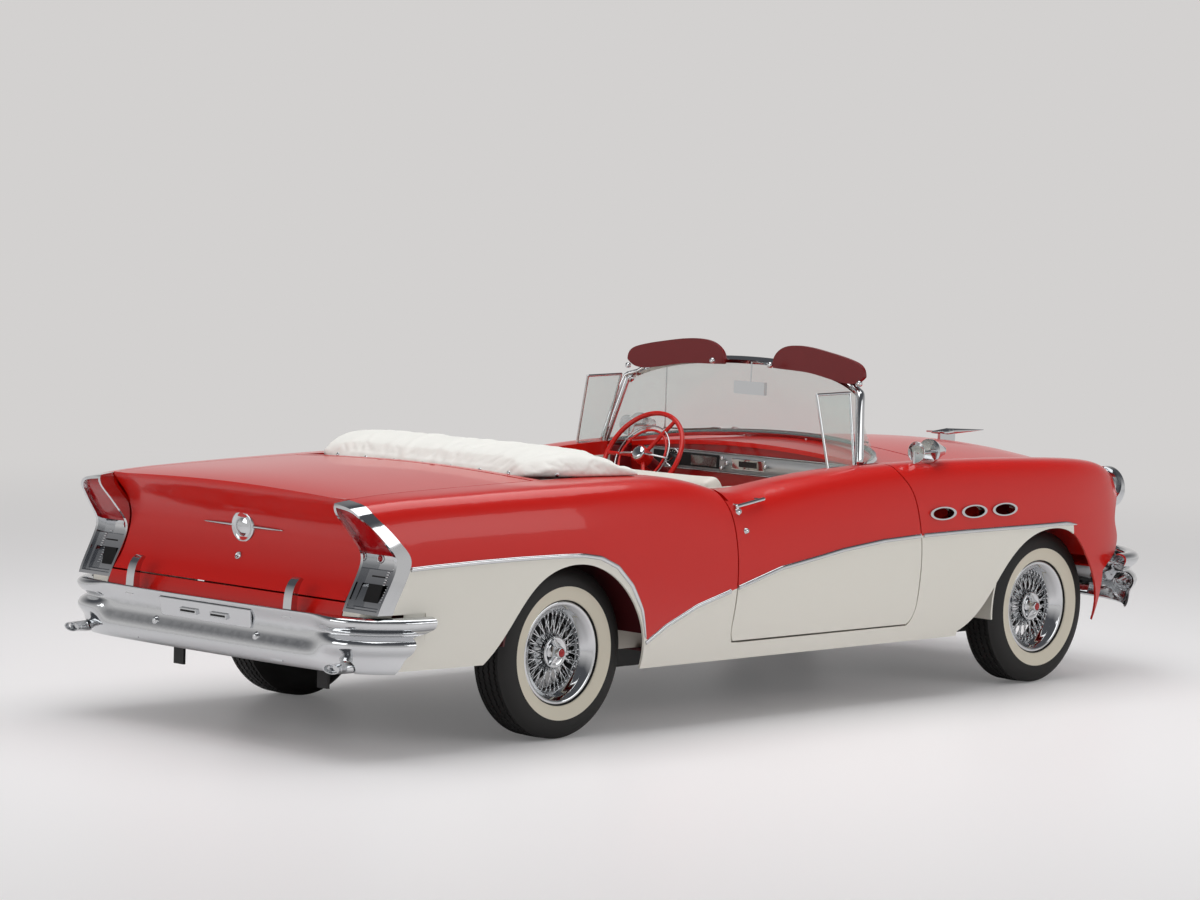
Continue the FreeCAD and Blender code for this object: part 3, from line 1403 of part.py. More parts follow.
def lamp_pocket(rim, start, depth, low, high):
    """The hollow inside the lamp's rim, from one depth behind the tail to another."""
    net = offset_net(side_net, rim)
    inside = block_between(net, [core_section(section) for section in net])
    layer = tail_keeper(start).cut(tail_keeper(depth))
    return layer.common(inside).common(block((tail_end, 0), (lamp_inner_y + rim, far_left), (low, high)))


def tail_lamps():
    rim = size.tail_lamp_rim
    housing = tail_keeper().cut(tail_keeper(size.tail_lamp_depth - size.seat_clearance)).common(side_volume)
    housing = housing.common(block((tail_end, 0), (lamp_inner_y, far_left), (lamp_low, over_all)))
    bend = lens_low - size.reflector_radius * 3
    housing = housing.cut(lamp_pocket(rim, -size.overrun / 10, size.tail_lamp_pocket, bend, over_all))
    housing = housing.cut(lamp_pocket(rim, -size.overrun / 10, size.tail_lamp_pocket / 2, lamp_low + rim, bend))
    housing = housing.cut(lamp_pocket(rim * 2, 0.0, size.tail_lamp_pocket, lamp_low + rim * 1.5, bend - rim * 4))
    front = along(-0.84) + size.tail_lamp_depth * 0.8
    back = along(-0.863)
    stud = Part.makeCylinder(size.reflector_radius, front - back, Vector(back, stud_y, stud_z), Vector(1, 0, 0))
    nose = Part.makeSphere(size.reflector_radius, Vector(back, stud_y, stud_z))
    return both_sides(largest(housing.fuse([stud, nose])))


subpart(feature("tail_lamps", tail_lamps()))


def tail_lenses():
    rim = size.tail_lamp_rim + size.seat_clearance
    lens = lamp_pocket(rim, size.tail_lamp_pocket / 2, size.tail_lamp_pocket - size.seat_clearance, lens_low, over_all)
    return both_sides(largest(lens))


subpart(feature("tail_lenses", tail_lenses()))


def headlamps():
    lamp = Part.makeCylinder(size.lamp_radius * 0.85 - size.seat_clearance, size.lamp_radius * 1.4,
                             Vector(along(1.45), lamp_y, lamp_z), Vector(1, 0, 0))
    ring = Part.makeCylinder(size.lamp_radius, size.lamp_reach, Vector(along(1.56), lamp_y, lamp_z), Vector(1, 0, 0))
    ring = ring.cut(fender_nose_keeper(size.seat_clearance))
    side = lamp.fuse(ring)
    return Part.makeCompound([side, flip(side)])


subpart(feature("headlamps", headlamps()))


# Port rims
def port_rims():
    rims = []
    for share in port_shares:
        outer = port_prism(share, 1.12, wheelhouse_outer_y, far_left)
        inner_oval = port_prism(share, 0.90, 0, far_left)
        raised = [[point + Vector(0, size.port_rim, 0) for point in row] for row in side_net]
        skin_out = block_between(raised, [core_section(section) for section in raised])
        rims.append(outer.cut(inner_oval).common(skin_out).cut(fender_shape).cut(
            block((tail_end, nose_end), (0, across(0.965)), (under_all, over_all))))
    return Part.makeCompound(rims + [flip(rim) for rim in rims])


subpart(feature("port_rims", port_rims()))

# Windshield: a wrapped pane in a tube frame
pane_base_shares = [(0.612, 0.785, 0.966), (0.645, 0.765, 0.978), (0.685, 0.70, 1.00), (0.72, 0.52, 1.030),
                    (0.75, 0.27, 1.046), (0.758, 0.0, 1.052)]
pane_top_shares = [(0.634, 0.715, 1.352), (0.637, 0.70, 1.375), (0.643, 0.61, 1.43), (0.648, 0.45, 1.48),
                   (0.652, 0.23, 1.51), (0.654, 0.0, 1.517)]


def pane_line(shares):
    half = [Vector(along(u), across(w), up(v)) for u, w, v in shares]
    return half + [Vector(point.x, -point.y, point.z) for point in reversed(half[:-1])]


base_line = pane_line(pane_base_shares)
top_line = pane_line(pane_top_shares)


def pane_band(low_share, high_share, outward, inward):
    """A strip of the wrapped pane between two heights, with a thickness to each side."""
    net = []
    for share in (low_share, (low_share + high_share) / 2, high_share):
        net.append([low + (high - low) * share for low, high in zip(base_line, top_line)])
    return block_between(offset_net(net, -outward), offset_net(net, inward))


header_share = 1 - size.windshield_tube * 1.6 / (top_line[5] - base_line[5]).Length
sash_share = 1 - header_share
outward_half = size.windshield_tube * 0.7
inward_half = size.windshield_tube * 1.1


def windshield_frame():
    """A header, a base sash and a post at each end, joined by a knuckle at each corner."""
    parts = [pane_band(header_share, 1.0, outward_half, inward_half), pane_band(0.0, sash_share, outward_half, inward_half)]
    knuckle = size.windshield_tube * 1.4
    for first, last in ((base_line[0], top_line[0]), (base_line[-1], top_line[-1])):
        away = Vector(-1, 0.3 if first.y > 0 else -0.3, 0).normalize() * float(size.windshield_tube + size.seat_clearance * 2)
        run = last - first
        parts.append(Part.makeCylinder(size.windshield_tube, run.Length, first + away, run))
        parts.append(Part.makeSphere(knuckle, first))
        parts.append(Part.makeSphere(knuckle, last))
    return parts


frame_pieces = windshield_frame()
frame_shape = frame_pieces[0].fuse(frame_pieces[1:])
frame_shape = largest(carve(frame_shape, [cowl_shape, firewall_piece.Shape, side_seat, flip(side_seat)]))
subpart(feature("windshield_frame", frame_shape))


def windshield_glass():
    gap = sash_share * size.seat_clearance / size.windshield_tube
    pane = pane_band(sash_share + gap, header_share - gap, 0.0, size.glass_thickness)
    tools = [piece for piece in frame_pieces[2:]] + [cowl_shape, side_seat, flip(side_seat)]
    return largest(carve(pane, tools))


subpart(feature("windshield_glass", windshield_glass()))

# Steering wheel, column and dashboard
wheel_hub = Vector(along(0.558), size.column_offset, up(0.93))
rake = math.radians(size.column_rake)
column_way = Vector(math.cos(rake), 0, -math.sin(rake))
tilt = FreeCAD.Rotation(Vector(0, 0, 1), column_way)
column_start = size.spindle_radius * 1.5


def steering_wheel():
    rim = Part.makeTorus(size.steering_wheel_radius, size.steering_rim_radius)
    horn = Part.makeTorus(size.steering_wheel_radius * 0.6, size.steering_rim_radius * 0.5)
    hub = Part.makeCylinder(size.column_radius * 1.5, column_start * 2, Vector(0, 0, -column_start))
    shaft = Part.makeCylinder(size.column_radius * 0.4, column_start * 4, Vector(0, 0, column_start))
    arms = []
    for angle in (90, 210, 330):
        arm = Part.makeCylinder(size.steering_rim_radius * 0.8, size.steering_wheel_radius, Vector(0, 0, 0), Vector(1, 0, 0))
        arm.rotate(Vector(0, 0, 0), Vector(0, 0, 1), angle)
        arms.append(arm)
    return rim.fuse([horn, hub, shaft] + arms)


steering_piece = subpart(feature("steering_wheel", steering_wheel()))
steering_piece.Placement = FreeCAD.Placement(wheel_hub, tilt)


def steering_column():
    long_tube = Part.makeCylinder(size.column_radius, size.wheelbase / 3, Vector(0, 0, column_start + size.seat_clearance))
    bore = Part.makeCylinder(size.column_radius * 0.4 + size.pin_clearance, column_start * 4.2, Vector(0, 0, column_start))
    shape = long_tube.cut(bore)
    shape.Placement = FreeCAD.Placement(wheel_hub, tilt)
    return shape.common(block((0, firewall_x - size.sheet_thickness), (0, far_left), (under_all, over_all)))


column_shape = steering_column()
subpart(feature("steering_column", column_shape))

dash_corners = [(along(0.655), up(0.73)), (along(0.70), up(0.80)), (along(0.70), up(1.1)), (along(0.652), up(1.1)),
                (along(0.648), up(0.86))]
dash = padded("dash_section", "XZ_Plane", dash_corners, kick_y * 2)
doc.recompute()
pane_room = pane_band(0.0, 1.0, size.seat_clearance * 2, size.glass_thickness + size.seat_clearance * 2)
dash_shape = carve(dash.Shape, over_cabin + [outside_left, flip(outside_left), column_shape, frame_shape, pane_room])
dash_shape = dash_shape.cut(Part.makeCylinder(size.column_radius * 0.999, size.wheelbase / 3, wheel_hub, column_way))
subpart(feature("dashboard", largest(dash_shape)))

# Seats
seat_x = along(0.56)
front_seat_base = box("front_seat_base", (seat_x - size.seat_depth, seat_x - size.seat_depth * 0.1),
                      (-size.seat_width * 0.46, size.seat_width * 0.46), (floor_bottom + size.tunnel_height,
                                                                          floor_bottom + size.tunnel_height * 1.25))
base_legs = box("seat_legs_left", (seat_x - size.seat_depth, seat_x - size.seat_depth * 0.1),
                (size.tunnel_width, size.tunnel_width + size.rail_width), (floor_top, floor_bottom + size.tunnel_height))
base_legs_right = box("seat_legs_right", (seat_x - size.seat_depth, seat_x - size.seat_depth * 0.1),
                      (-size.tunnel_width - size.rail_width, -size.tunnel_width),
                      (floor_top, floor_bottom + size.tunnel_height))
subpart(fuse("front_seat_base_frame", [front_seat_base, base_legs, base_legs_right]), "front_seat_frame")
cushion_low = floor_bottom + size.tunnel_height * 1.25 + size.seat_clearance
cushion_corners = [
    (seat_x - size.seat_depth, cushion_low), (seat_x, cushion_low),
    (seat_x + size.back_thickness * 0.1, cushion_low + size.cushion_thickness * 0.75),
    (seat_x - size.back_thickness * 0.2, cushion_low + size.cushion_thickness),
    (seat_x - size.seat_depth, cushion_low + size.cushion_thickness * 0.85),
]
subpart(padded("front_seat_cushion", "XZ_Plane", cushion_corners, size.seat_width))
back_foot = seat_x - size.seat_depth - size.seat_clearance
back_top = up(0.965)
back_corners = [
    (back_foot, cushion_low), (back_foot, cushion_low + size.cushion_thickness),
    (back_foot - size.back_thickness * 0.55, back_top - size.back_thickness * 0.3),
    (back_foot - size.back_thickness * 0.8, back_top),
    (back_foot - size.back_thickness * 1.35, back_top - size.back_thickness * 0.15),
    (back_foot - size.back_thickness * 1.45, back_top - size.back_thickness * 0.8),
    (back_foot - size.back_thickness, cushion_low),
]
subpart(padded("front_seat_back", "XZ_Plane", back_corners, size.seat_width))
rear_low_z = trunk_floor + size.sheet_thickness + size.seat_clearance
rear_front = along(0.29)
rear_corners = [
    (heel_x + size.seat_clearance, floor_top + size.seat_clearance), (rear_front, floor_top + size.seat_clearance),
    (rear_front, rear_low_z + size.cushion_thickness * 0.3),
    (rear_front - size.back_thickness * 0.3, rear_low_z + size.cushion_thickness * 0.45),
    (heel_x + size.seat_clearance, rear_low_z + size.cushion_thickness * 0.25),
]
rear_half_width = trim_y * 2 - size.running_clearance
tunnel_notch = box("tunnel_notch", (heel_x - size.overrun, firewall_x),
                   (-size.tunnel_width / 2 - size.seat_clearance, size.tunnel_width / 2 + size.seat_clearance),
                   (floor_bottom, floor_bottom + size.tunnel_height + size.seat_clearance))
subpart(cut("rear_seat_cushion", padded("rear_cushion_section", "XZ_Plane", rear_corners, rear_half_width),
            tunnel_notch))
rear_back_corners = [
    (heel_x, rear_low_z), (heel_x, rear_low_z + size.cushion_thickness * 0.5),
    (heel_x - size.back_thickness * 0.6, up(0.93)), (along(0.14), up(0.95)), (along(0.135), rear_low_z),
]
subpart(padded("rear_seat_back", "XZ_Plane", rear_back_corners, rear_half_width))


# Folded top under its boot
boot_shares = [(-0.008, 0.62, 0.012), (0.03, 0.72, 0.085), (0.08, 0.765, 0.11), (0.13, 0.80, 0.09), (0.152, 0.82, 0.02)]


def top_boot():
    lower, upper = [], []
    base = up(0.96)
    for where, reach, rise in boot_shares:
        line_low, line_high = [], []
        for share in (-1.0, -0.96, -0.6, 0.0, 0.6, 0.96, 1.0):
            point = Vector(along(where), across(reach) * share, base)
            line_low.append(point)
            edge = 0.12 if abs(share) == 1.0 else 1.0
            line_high.append(point + Vector(0, 0, (0.035 + rise * edge) * size.body_depth + size.skin))
        lower.append(line_low)
        upper.append(line_high)
    return largest(carve(block_between(lower, upper), [side_seat, flip(side_seat), deck_shape]))


subpart(feature("top_boot", top_boot()))


# Vent windows on the doors
vent_shares = [(0.5455, 0.781, 0.972), (0.6020, 0.781, 0.972), (0.6130, 0.711, 1.378), (0.5420, 0.711, 1.372)]
vent_bar = size.sheet_thickness


def vent_window():
    corners = [Vector(along(u), across(w), up(v)) for u, w, v in vent_shares]
    rods = []
    for first, last in zip(corners, corners[1:] + corners[:1]):
        run = last - first
        rods.append(Part.makeCylinder(vent_bar / 2, run.Length, first, run))
        rods.append(Part.makeSphere(vent_bar / 2, first))
    frame_rods = rods[0].fuse(rods[1:])
    normal = (corners[1] - corners[0]).cross(corners[3] - corners[0]).normalize()
    half = size.glass_thickness / 2
    flat = [corner - normal * (half + (corner - corners[0]).dot(normal)) for corner in corners]
    pane = Part.Face(Part.makePolygon(flat + flat[:1])).extrude(normal * size.glass_thickness)
    return frame_rods, pane


vent_frame, vent_pane = vent_window()
door_shape = door_left.Shape
foot = Part.makeBox(along(0.6020) - along(0.5455), vent_bar, up(0.972) - up(0.93),
                    Vector(along(0.5455), across(0.781) - vent_bar / 2, up(0.93)))
vent_frame = largest(vent_frame.fuse(foot).cut(door_shape))
vent_glass = carve(vent_pane, [vent_frame, door_shape])
vent_left = subpart(feature("vent_frame_left", vent_frame))
subpart(mirrored("vent_frame_right", vent_left))
glass_left = subpart(feature("vent_glass_left", largest(vent_glass)))
subpart(mirrored("vent_glass_right", glass_left))


# Mirrors, antenna, hood ornament and door handles
def fender_mirrors():
    base = Vector(along(0.692), across(0.89), up(0.90))
    stem = Part.makeCylinder(size.antenna_radius * 2, up(1.055) - up(0.90), base)
    head_middle = Vector(along(0.735), across(0.905), up(1.055))
    arm = Part.makeCylinder(size.antenna_radius * 2, head_middle.x - base.x, Vector(base.x, across(0.897), up(1.05)),
                            Vector(1, 0, 0))
    radius = size.mirror_radius
    start = Vector(along(0.735) - radius, across(0.905), up(1.055))
    forward = Vector(1, 0, 0)
    rim = Part.makeCylinder(radius, radius * 0.3, start, forward)
    shell = Part.makeCone(radius, radius * 0.4, radius * 1.4, start + forward * float(radius * 0.3), forward)
    head = rim.fuse([shell, Part.makeSphere(radius * 0.4, start + forward * float(radius * 1.7))])
    side = largest(stem.fuse([arm, head]).cut(side_seat))
    return Part.makeCompound([side, flip(side)])


subpart(feature("fender_mirrors", fender_mirrors()))


def antenna():
    base = Vector(along(0.752), across(0.83), up(0.95))
    mast = Part.makeCylinder(size.antenna_radius, size.antenna_height, base)
    foot = Part.makeCone(size.antenna_radius * 4, size.antenna_radius * 2, up(1.04) - up(0.95), base)
    return largest(mast.fuse(foot).cut(side_seat))


subpart(feature("antenna", antenna()))


ornament_end_shares = (1.24, 1.36, 1.66)
ornament_wing_shares = [(1.44, 0.0), (1.30, 3.4), (1.27, 3.4), (1.31, 0.0)]


def hood_ornament():
    """A slim dart with swept wings on a foot."""
    radius = size.skin * 1.6
    middle = up(1.045)
    tail, waist, tip = (along(share) for share in ornament_end_shares)
    forward = Vector(1, 0, 0)
    dart = Part.makeCone(radius * 0.3, radius, waist - tail, Vector(tail, 0, middle), forward)
    dart = dart.fuse(Part.makeCone(radius, radius * 0.1, tip - waist, Vector(waist, 0, middle), forward))
    corners = [Vector(along(share), reach * radius, middle - radius / 4) for share, reach in ornament_wing_shares]
    wing = Part.Face(Part.makePolygon(corners + corners[:1])).extrude(Vector(0, 0, radius / 2))
    foot = block((along(1.30), along(1.42)), (-radius / 2, radius / 2), (up(0.90), middle))
    whole = dart.fuse([wing, flip(wing), foot])
    return largest(whole.cut(block_between(hood_net, lowered(hood_net, size.overrun))))


subpart(feature("hood_ornament", hood_ornament()))


handle_shares = [(0.290, 0.821), (0.350, 0.849)]


def side_reach(x, z):
    """How far out the body side is at a place in the side view."""
    probe = Part.makeLine(Vector(x, 0, z), Vector(x, far_left, z))
    return probe.common(side_volume).BoundBox.YMax


def door_handle():
    """A round bar with domed ends that stands off the door on two feet."""
    ends = []
    for u, v in handle_shares:
        x, z = along(u), up(v)
        ends.append(Vector(x, side_reach(x, z) + size.handle_stand_off, z))
    run = ends[1] - ends[0]
    parts = [Part.makeSphere(size.handle_radius, point) for point in ends]
    for share in (0.1, 0.9):
        foot = ends[0] + run * share
        parts.append(Part.makeCylinder(size.handle_radius * 0.8, size.handle_stand_off * 1.5,
                                       foot - Vector(0, size.handle_stand_off * 1.5, 0), Vector(0, 1, 0)))
    return Part.makeCylinder(size.handle_radius, run.Length, ends[0], run).fuse(parts)


handle_left = door_handle().cut(door_shape)
handle_piece = subpart(feature("door_handle_left", largest(handle_left)))
subpart(mirrored("door_handle_right", handle_piece))


# Rear view mirror and sun visors on the windshield header
def inside_mirror():
    stem = Part.makeCylinder(size.antenna_radius, size.rail_width * 1.8, Vector(along(0.652), 0, up(1.37)), Vector(0.05, 0, 1))
    head = block((along(0.652) - size.skin, along(0.652) + size.skin), (-size.rim_width * 0.6, size.rim_width * 0.6),
                 (up(1.31), up(1.385)))
    return largest(stem.fuse(head).cut(frame_shape))


subpart(feature("rear_view_mirror", inside_mirror()))


visor_top_shares = [(0.155, 1.475), (0.158, 1.535), (0.20, 1.585), (0.29, 1.612), (0.51, 1.588), (0.66, 1.553),
                    (0.725, 1.515), (0.738, 1.465)]
visor_low_shares = [(0.738, 1.465), (0.70, 1.432), (0.60, 1.424), (0.40, 1.462), (0.21, 1.472), (0.155, 1.475)]


def sun_visors():
    """Two rounded boards that stand up against the back of the header."""
    runs = [[Vector(0, across(w), up(v)) for w, v in shares] for shares in (visor_top_shares, visor_low_shares)]
    board = Part.Face(closed_wire(runs)).extrude(Vector(-size.visor_thickness, 0, 0))
    start = Vector(along(0.6515), across(0.155), 0)
    board.translate(Vector(start.x, 0, 0))
    board.rotate(start, Vector(0, 0, 1), visor_swing)
    return both_sides(largest(board.cut(frame_shape)))


visor_swing = 4.0
subpart(feature("sun_visors", sun_visors()))


def check_and_write():
    """Stops on any failed object, then writes one file per piece."""
    doc.recompute()
    for thing in doc.Objects:
        if "Invalid" in thing.State or "Error" in thing.State:
            raise RuntimeError(f"{thing.Label} failed: {thing.State}")
    os.makedirs("parts", exist_ok=True)
    for piece in subparts:
        shape = piece.Shape
        if shape.isNull() or not shape.isValid():
            raise RuntimeError(f"{piece.Label} has no valid shape")
        shape.exportStep(os.path.join("parts", f"{piece.Label}.step"))
        print(piece.Label, len(shape.Solids), round(shape.Volume / 1e6, 3))


check_and_write()
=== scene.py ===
import bpy
import bmesh
import json
import math
import random
from mathutils import Matrix, Vector
from mathutils.bvhtree import BVHTree


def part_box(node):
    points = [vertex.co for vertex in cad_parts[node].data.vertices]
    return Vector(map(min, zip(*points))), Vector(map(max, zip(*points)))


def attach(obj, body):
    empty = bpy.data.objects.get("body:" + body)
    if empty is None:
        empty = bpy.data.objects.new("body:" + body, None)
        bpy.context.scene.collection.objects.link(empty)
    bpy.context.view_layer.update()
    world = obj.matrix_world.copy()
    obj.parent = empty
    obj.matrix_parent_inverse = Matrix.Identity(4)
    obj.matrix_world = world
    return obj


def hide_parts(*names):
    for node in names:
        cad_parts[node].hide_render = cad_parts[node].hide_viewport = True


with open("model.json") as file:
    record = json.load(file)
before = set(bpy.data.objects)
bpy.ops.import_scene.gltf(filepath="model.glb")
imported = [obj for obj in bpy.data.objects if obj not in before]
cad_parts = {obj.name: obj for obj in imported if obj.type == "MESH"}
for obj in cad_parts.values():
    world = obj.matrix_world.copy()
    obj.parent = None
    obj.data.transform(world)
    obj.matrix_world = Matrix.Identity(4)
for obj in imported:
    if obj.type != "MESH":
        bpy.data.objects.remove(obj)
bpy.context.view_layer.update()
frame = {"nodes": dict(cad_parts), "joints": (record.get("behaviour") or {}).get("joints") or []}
nodes = frame["nodes"]
print("frame loaded:", len(nodes), "nodes")

collection = bpy.context.scene.collection
bothSides = ((1, "left"), (-1, "right"))  # +Y is the car's left
forward, rearward = (1, 0, 0), (-1, 0, 0)
wheelCorners = (("front_left", 1), ("front_right", -1), ("rear_left", 1), ("rear_right", -1))
meshSizes = {  # metres and degrees, for every piece
    "bevelAngle": 35, "splitAngle": 40, "weldDistance": 0.00002, "castAside": 1.5, "castBehind": 4,
    "castNear": 0.5,
}


def setValues(target, **values):
    for name, value in values.items():
        setattr(target, name, value)


# Shader helpers

def linearColour(hexText):  # sRGB hex to the linear values that shaders take
    channels = []
    for start in (1, 3, 5):
        value = int(hexText[start:start + 2], 16) / 255
        channels.append(value / 12.92 if value <= 0.04045 else ((value + 0.055) / 1.055) ** 2.4)
    return (*channels, 1.0)


def addNode(tree, kind, settings=None, values=None, links=None):
    node = tree.nodes.new("ShaderNode" + kind)
    setValues(node, **(settings or {}))
    for socket, value in (values or {}).items():
        node.inputs[socket].default_value = value
    for socket, source in (links or {}).items():
        tree.links.new(source, node.inputs[socket])
    return node


def mathNode(tree, operation, *inputs):  # a sum of sockets and numbers
    node = addNode(tree, "Math", {"operation": operation})
    for socket, given in zip(node.inputs, inputs):
        if isinstance(given, (int, float)):
            socket.default_value = given
        else:
            tree.links.new(given, socket)
    return node.outputs[0]


def startMaterial(name, **values):
    material = bpy.data.materials.new(name)
    material.use_nodes = True
    tree = material.node_tree
    tree.nodes.clear()
    shader = addNode(tree, "BsdfPrincipled")
    for label, value in values.items():
        shader.inputs[label.replace("_", " ")].default_value = value
    addNode(tree, "OutputMaterial", links={0: shader.outputs[0]})
    return material, tree, shader


def placeSocket(tree):  # where a point is, in metres of the shared frame
    return addNode(tree, "TexCoord").outputs["Object"]


def placeParts(tree):
    return addNode(tree, "SeparateXYZ", links={0: placeSocket(tree)}).outputs


# a fine relief into a shader's normal socket
def addGrain(tree, socket, grainMm, detail, strength, distance):
    noise = addNode(tree, "TexNoise", values={"Scale": 1000 / grainMm, "Detail": detail},
                    links={"Vector": placeSocket(tree)})
    bump = addNode(tree, "Bump", values={"Strength": strength, "Distance": distance},
                   links={"Height": noise.outputs["Fac"]})
    tree.links.new(bump.outputs[0], socket)


def mixColours(tree, shader, share, first, second):
    mix = addNode(tree, "Mix", {"data_type": "RGBA"}, links={"Factor": share})
    mix.inputs[6].default_value = linearColour(first)
    mix.inputs[7].default_value = linearColour(second)
    tree.links.new(mix.outputs[2], shader.inputs["Base Color"])


# Piece helpers

def addObject(name, data):
    made = bpy.data.objects.new(name, data)
    collection.objects.link(made)
    return made


def addModifier(piece, name, kind, **values):
    modifier = piece.modifiers.new(name, kind)
    setValues(modifier, **values)
    return modifier


def smoothFaces(mesh):
    for polygon in mesh.polygons:
        polygon.use_smooth = True


def addPiece(name, mesh, body, material=None, smooth=True):
    piece = addObject(name, mesh)
    if material is not None:
        mesh.materials.append(material)
    if smooth:
        smoothFaces(mesh)
    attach(piece, body)
    return piece


def meshFrom(name, vertices, faces):
    mesh = bpy.data.meshes.new(name)
    mesh.from_pydata([tuple(v) for v in vertices], [], faces)
    mesh.validate()
    mesh.update()
    return mesh


def bevelPiece(piece, width, segments=2):
    addModifier(piece, "softEdges", "BEVEL", width=width, segments=segments, limit_method="ANGLE",
                angle_limit=math.radians(meshSizes["bevelAngle"]), harden_normals=False)


def repaint(name, material):
    mesh = nodes[name].data
    mesh.materials.clear()
    mesh.materials.append(material)


def meshTree(mesh):
    return BVHTree.FromPolygons([v.co for v in mesh.vertices], [p.vertices for p in mesh.polygons])


surfaceTrees = {}


def surfaceTree(name):
    if name not in surfaceTrees:
        surfaceTrees[name] = meshTree(nodes[name].data)
    return surfaceTrees[name]


def castAt(name, start, direction):  # where a straight line first meets a solid, and how that face lies
    hit, normal, _, _ = surfaceTree(name).ray_cast(Vector(start), Vector(direction))
    return hit, normal


def sidePoint(name, x, z, side):  # the point of a panel's outer side at a place in the side view
    return castAt(name, (x, side * meshSizes["castAside"], z), (0, -side, 0))


def backPoint(name, y, z):  # the point of a piece's rear face at a place in the view from behind
    return castAt(name, (-meshSizes["castBehind"], y, z), forward)


# Camera, floor and lights

# place in metres, turns in degrees, the focal length in pixels of the 1200 px wide photograph
cameraSizes = {
    "place": (-12.6245, -11.658, 2.304), "yaw": 43.56, "pitch": 4.19, "roll": 1.82,
    "focalPixels": 3941.0, "photoWidth": 1200, "sensorWidth": 36,
}


def makeCamera():
    yaw, pitch, roll = (math.radians(cameraSizes[key]) for key in ("yaw", "pitch", "roll"))
    ahead = Vector((math.cos(yaw) * math.cos(pitch), math.sin(yaw) * math.cos(pitch), -math.sin(pitch)))
    right = ahead.cross(Vector((0, 0, 1))).normalized()
    up = right.cross(ahead)
    turnedRight = math.cos(roll) * right + math.sin(roll) * up
    turnedUp = -math.sin(roll) * right + math.cos(roll) * up
    data = bpy.data.cameras.new("camera")
    width = cameraSizes["sensorWidth"]
    lens = cameraSizes["focalPixels"] / cameraSizes["photoWidth"] * width
    setValues(data, sensor_width=width, lens=lens, clip_end=200)
    camera = addObject("camera", data)
    rotation = Matrix((turnedRight, turnedUp, -ahead)).transposed().to_4x4()
    camera.matrix_world = Matrix.Translation(cameraSizes["place"]) @ rotation
    bpy.context.scene.camera = camera


stageSizes = {  # powers in watts, lengths in metres
    "floorColour": "#EDEBEC", "backColour": "#D3D1D0", "ceilingColour": "#55565A", "floorGlow": 0.10,
    "floorRoughness": 0.42, "floorSteps": 64, "floorRadius": 120.0, "fadeStart": 2.5, "fadeEnd": 13.0,
    "backTop": 0.06, "ceilingStart": 0.55, "worldStrength": 0.42, "keyPower": 330, "fillPower": 120,
}


# 1 for rays that carry a picture (seen, mirrored or through glass), 0 for those that carry light
def sightShare(tree):
    path = addNode(tree, "LightPath").outputs
    seen = mathNode(tree, "MAXIMUM", path["Is Camera Ray"], path["Is Transmission Ray"])
    return mathNode(tree, "MAXIMUM", seen, path["Is Glossy Ray"])


# matt white floor paint, rolled on: soft shadows, and no edge where it fades to the backdrop
def floorMaterial():
    size = stageSizes
    material, tree, shader = startMaterial(
        "paintedStudioFloor", Base_Color=linearColour(size["floorColour"]),
        Roughness=size["floorRoughness"],
        Specular_IOR_Level=0.25, Emission_Color=linearColour("#FFFFFF"))
    seen = addNode(tree, "LightPath").outputs["Is Camera Ray"]
    tree.links.new(mathNode(tree, "MULTIPLY", seen, size["floorGlow"]), shader.inputs["Emission Strength"])
    reach = addNode(tree, "VectorMath", {"operation": "LENGTH"}, links={0: placeSocket(tree)})
    fade = addNode(tree, "MapRange", {"interpolation_type": "SMOOTHSTEP"},
                   {1: size["fadeStart"], 2: size["fadeEnd"]}, {0: reach.outputs["Value"]})
    far = addNode(tree, "Emission", values={"Color": linearColour(size["backColour"]), "Strength": 1.0})
    mix = addNode(tree, "MixShader", links={
        0: mathNode(tree, "MULTIPLY", sightShare(tree), fade.outputs[0]), 1: shader.outputs[0],
        2: far.outputs[0]})
    output = next(node for node in tree.nodes if node.type == "OUTPUT_MATERIAL")
    tree.links.new(mix.outputs[0], output.inputs[0])
    return material


def makeFloor():
    count, radius = stageSizes["floorSteps"], stageSizes["floorRadius"]
    turns = [2 * math.pi * step / count for step in range(count)]
    vertices = [(radius * math.cos(turn), radius * math.sin(turn), 0) for turn in turns]
    mesh = meshFrom("studioFloor", vertices, [tuple(range(count))])
    mesh.materials.append(floorMaterial())
    addObject("studioFloor", mesh)


def makeWorld():  # white light from all round, and a backdrop that darkens upward for the chrome to mirror
    world = bpy.data.worlds.new("studioWorld")
    bpy.context.scene.world = world
    world.use_nodes = True
    tree = world.node_tree
    tree.nodes.clear()
    light = addNode(tree, "Background", values={"Color": linearColour("#FFFFFF"),
                                                          "Strength": stageSizes["worldStrength"]})
    place = addNode(tree, "TexCoord")
    parts = addNode(tree, "SeparateXYZ", links={0: place.outputs["Generated"]})
    ramp = addNode(tree, "ValToRGB", links={0: parts.outputs["Z"]})
    stops = (("backTop", "backColour"), ("ceilingStart", "ceilingColour"))
    for element, (position, colour) in zip(ramp.color_ramp.elements, stops):
        element.position = stageSizes[position]
        element.color = linearColour(stageSizes[colour])
    backdrop = addNode(tree, "Background", values={"Strength": 1.0}, links={"Color": ramp.outputs[0]})
    mix = addNode(tree, "MixShader",
                  links={0: sightShare(tree), 1: light.outputs[0], 2: backdrop.outputs[0]})
    addNode(tree, "OutputWorld", links={0: mix.outputs[0]})


def addLamp(name, place, target, width, height, power):
    data = bpy.data.lights.new(name, "AREA")
    setValues(data, shape="RECTANGLE", size=width, size_y=height, energy=power)
    lamp = addObject(name, data)
    lamp.location = place
    lamp.rotation_euler = (Vector(target) - Vector(place)).to_track_quat("-Z", "Y").to_euler()


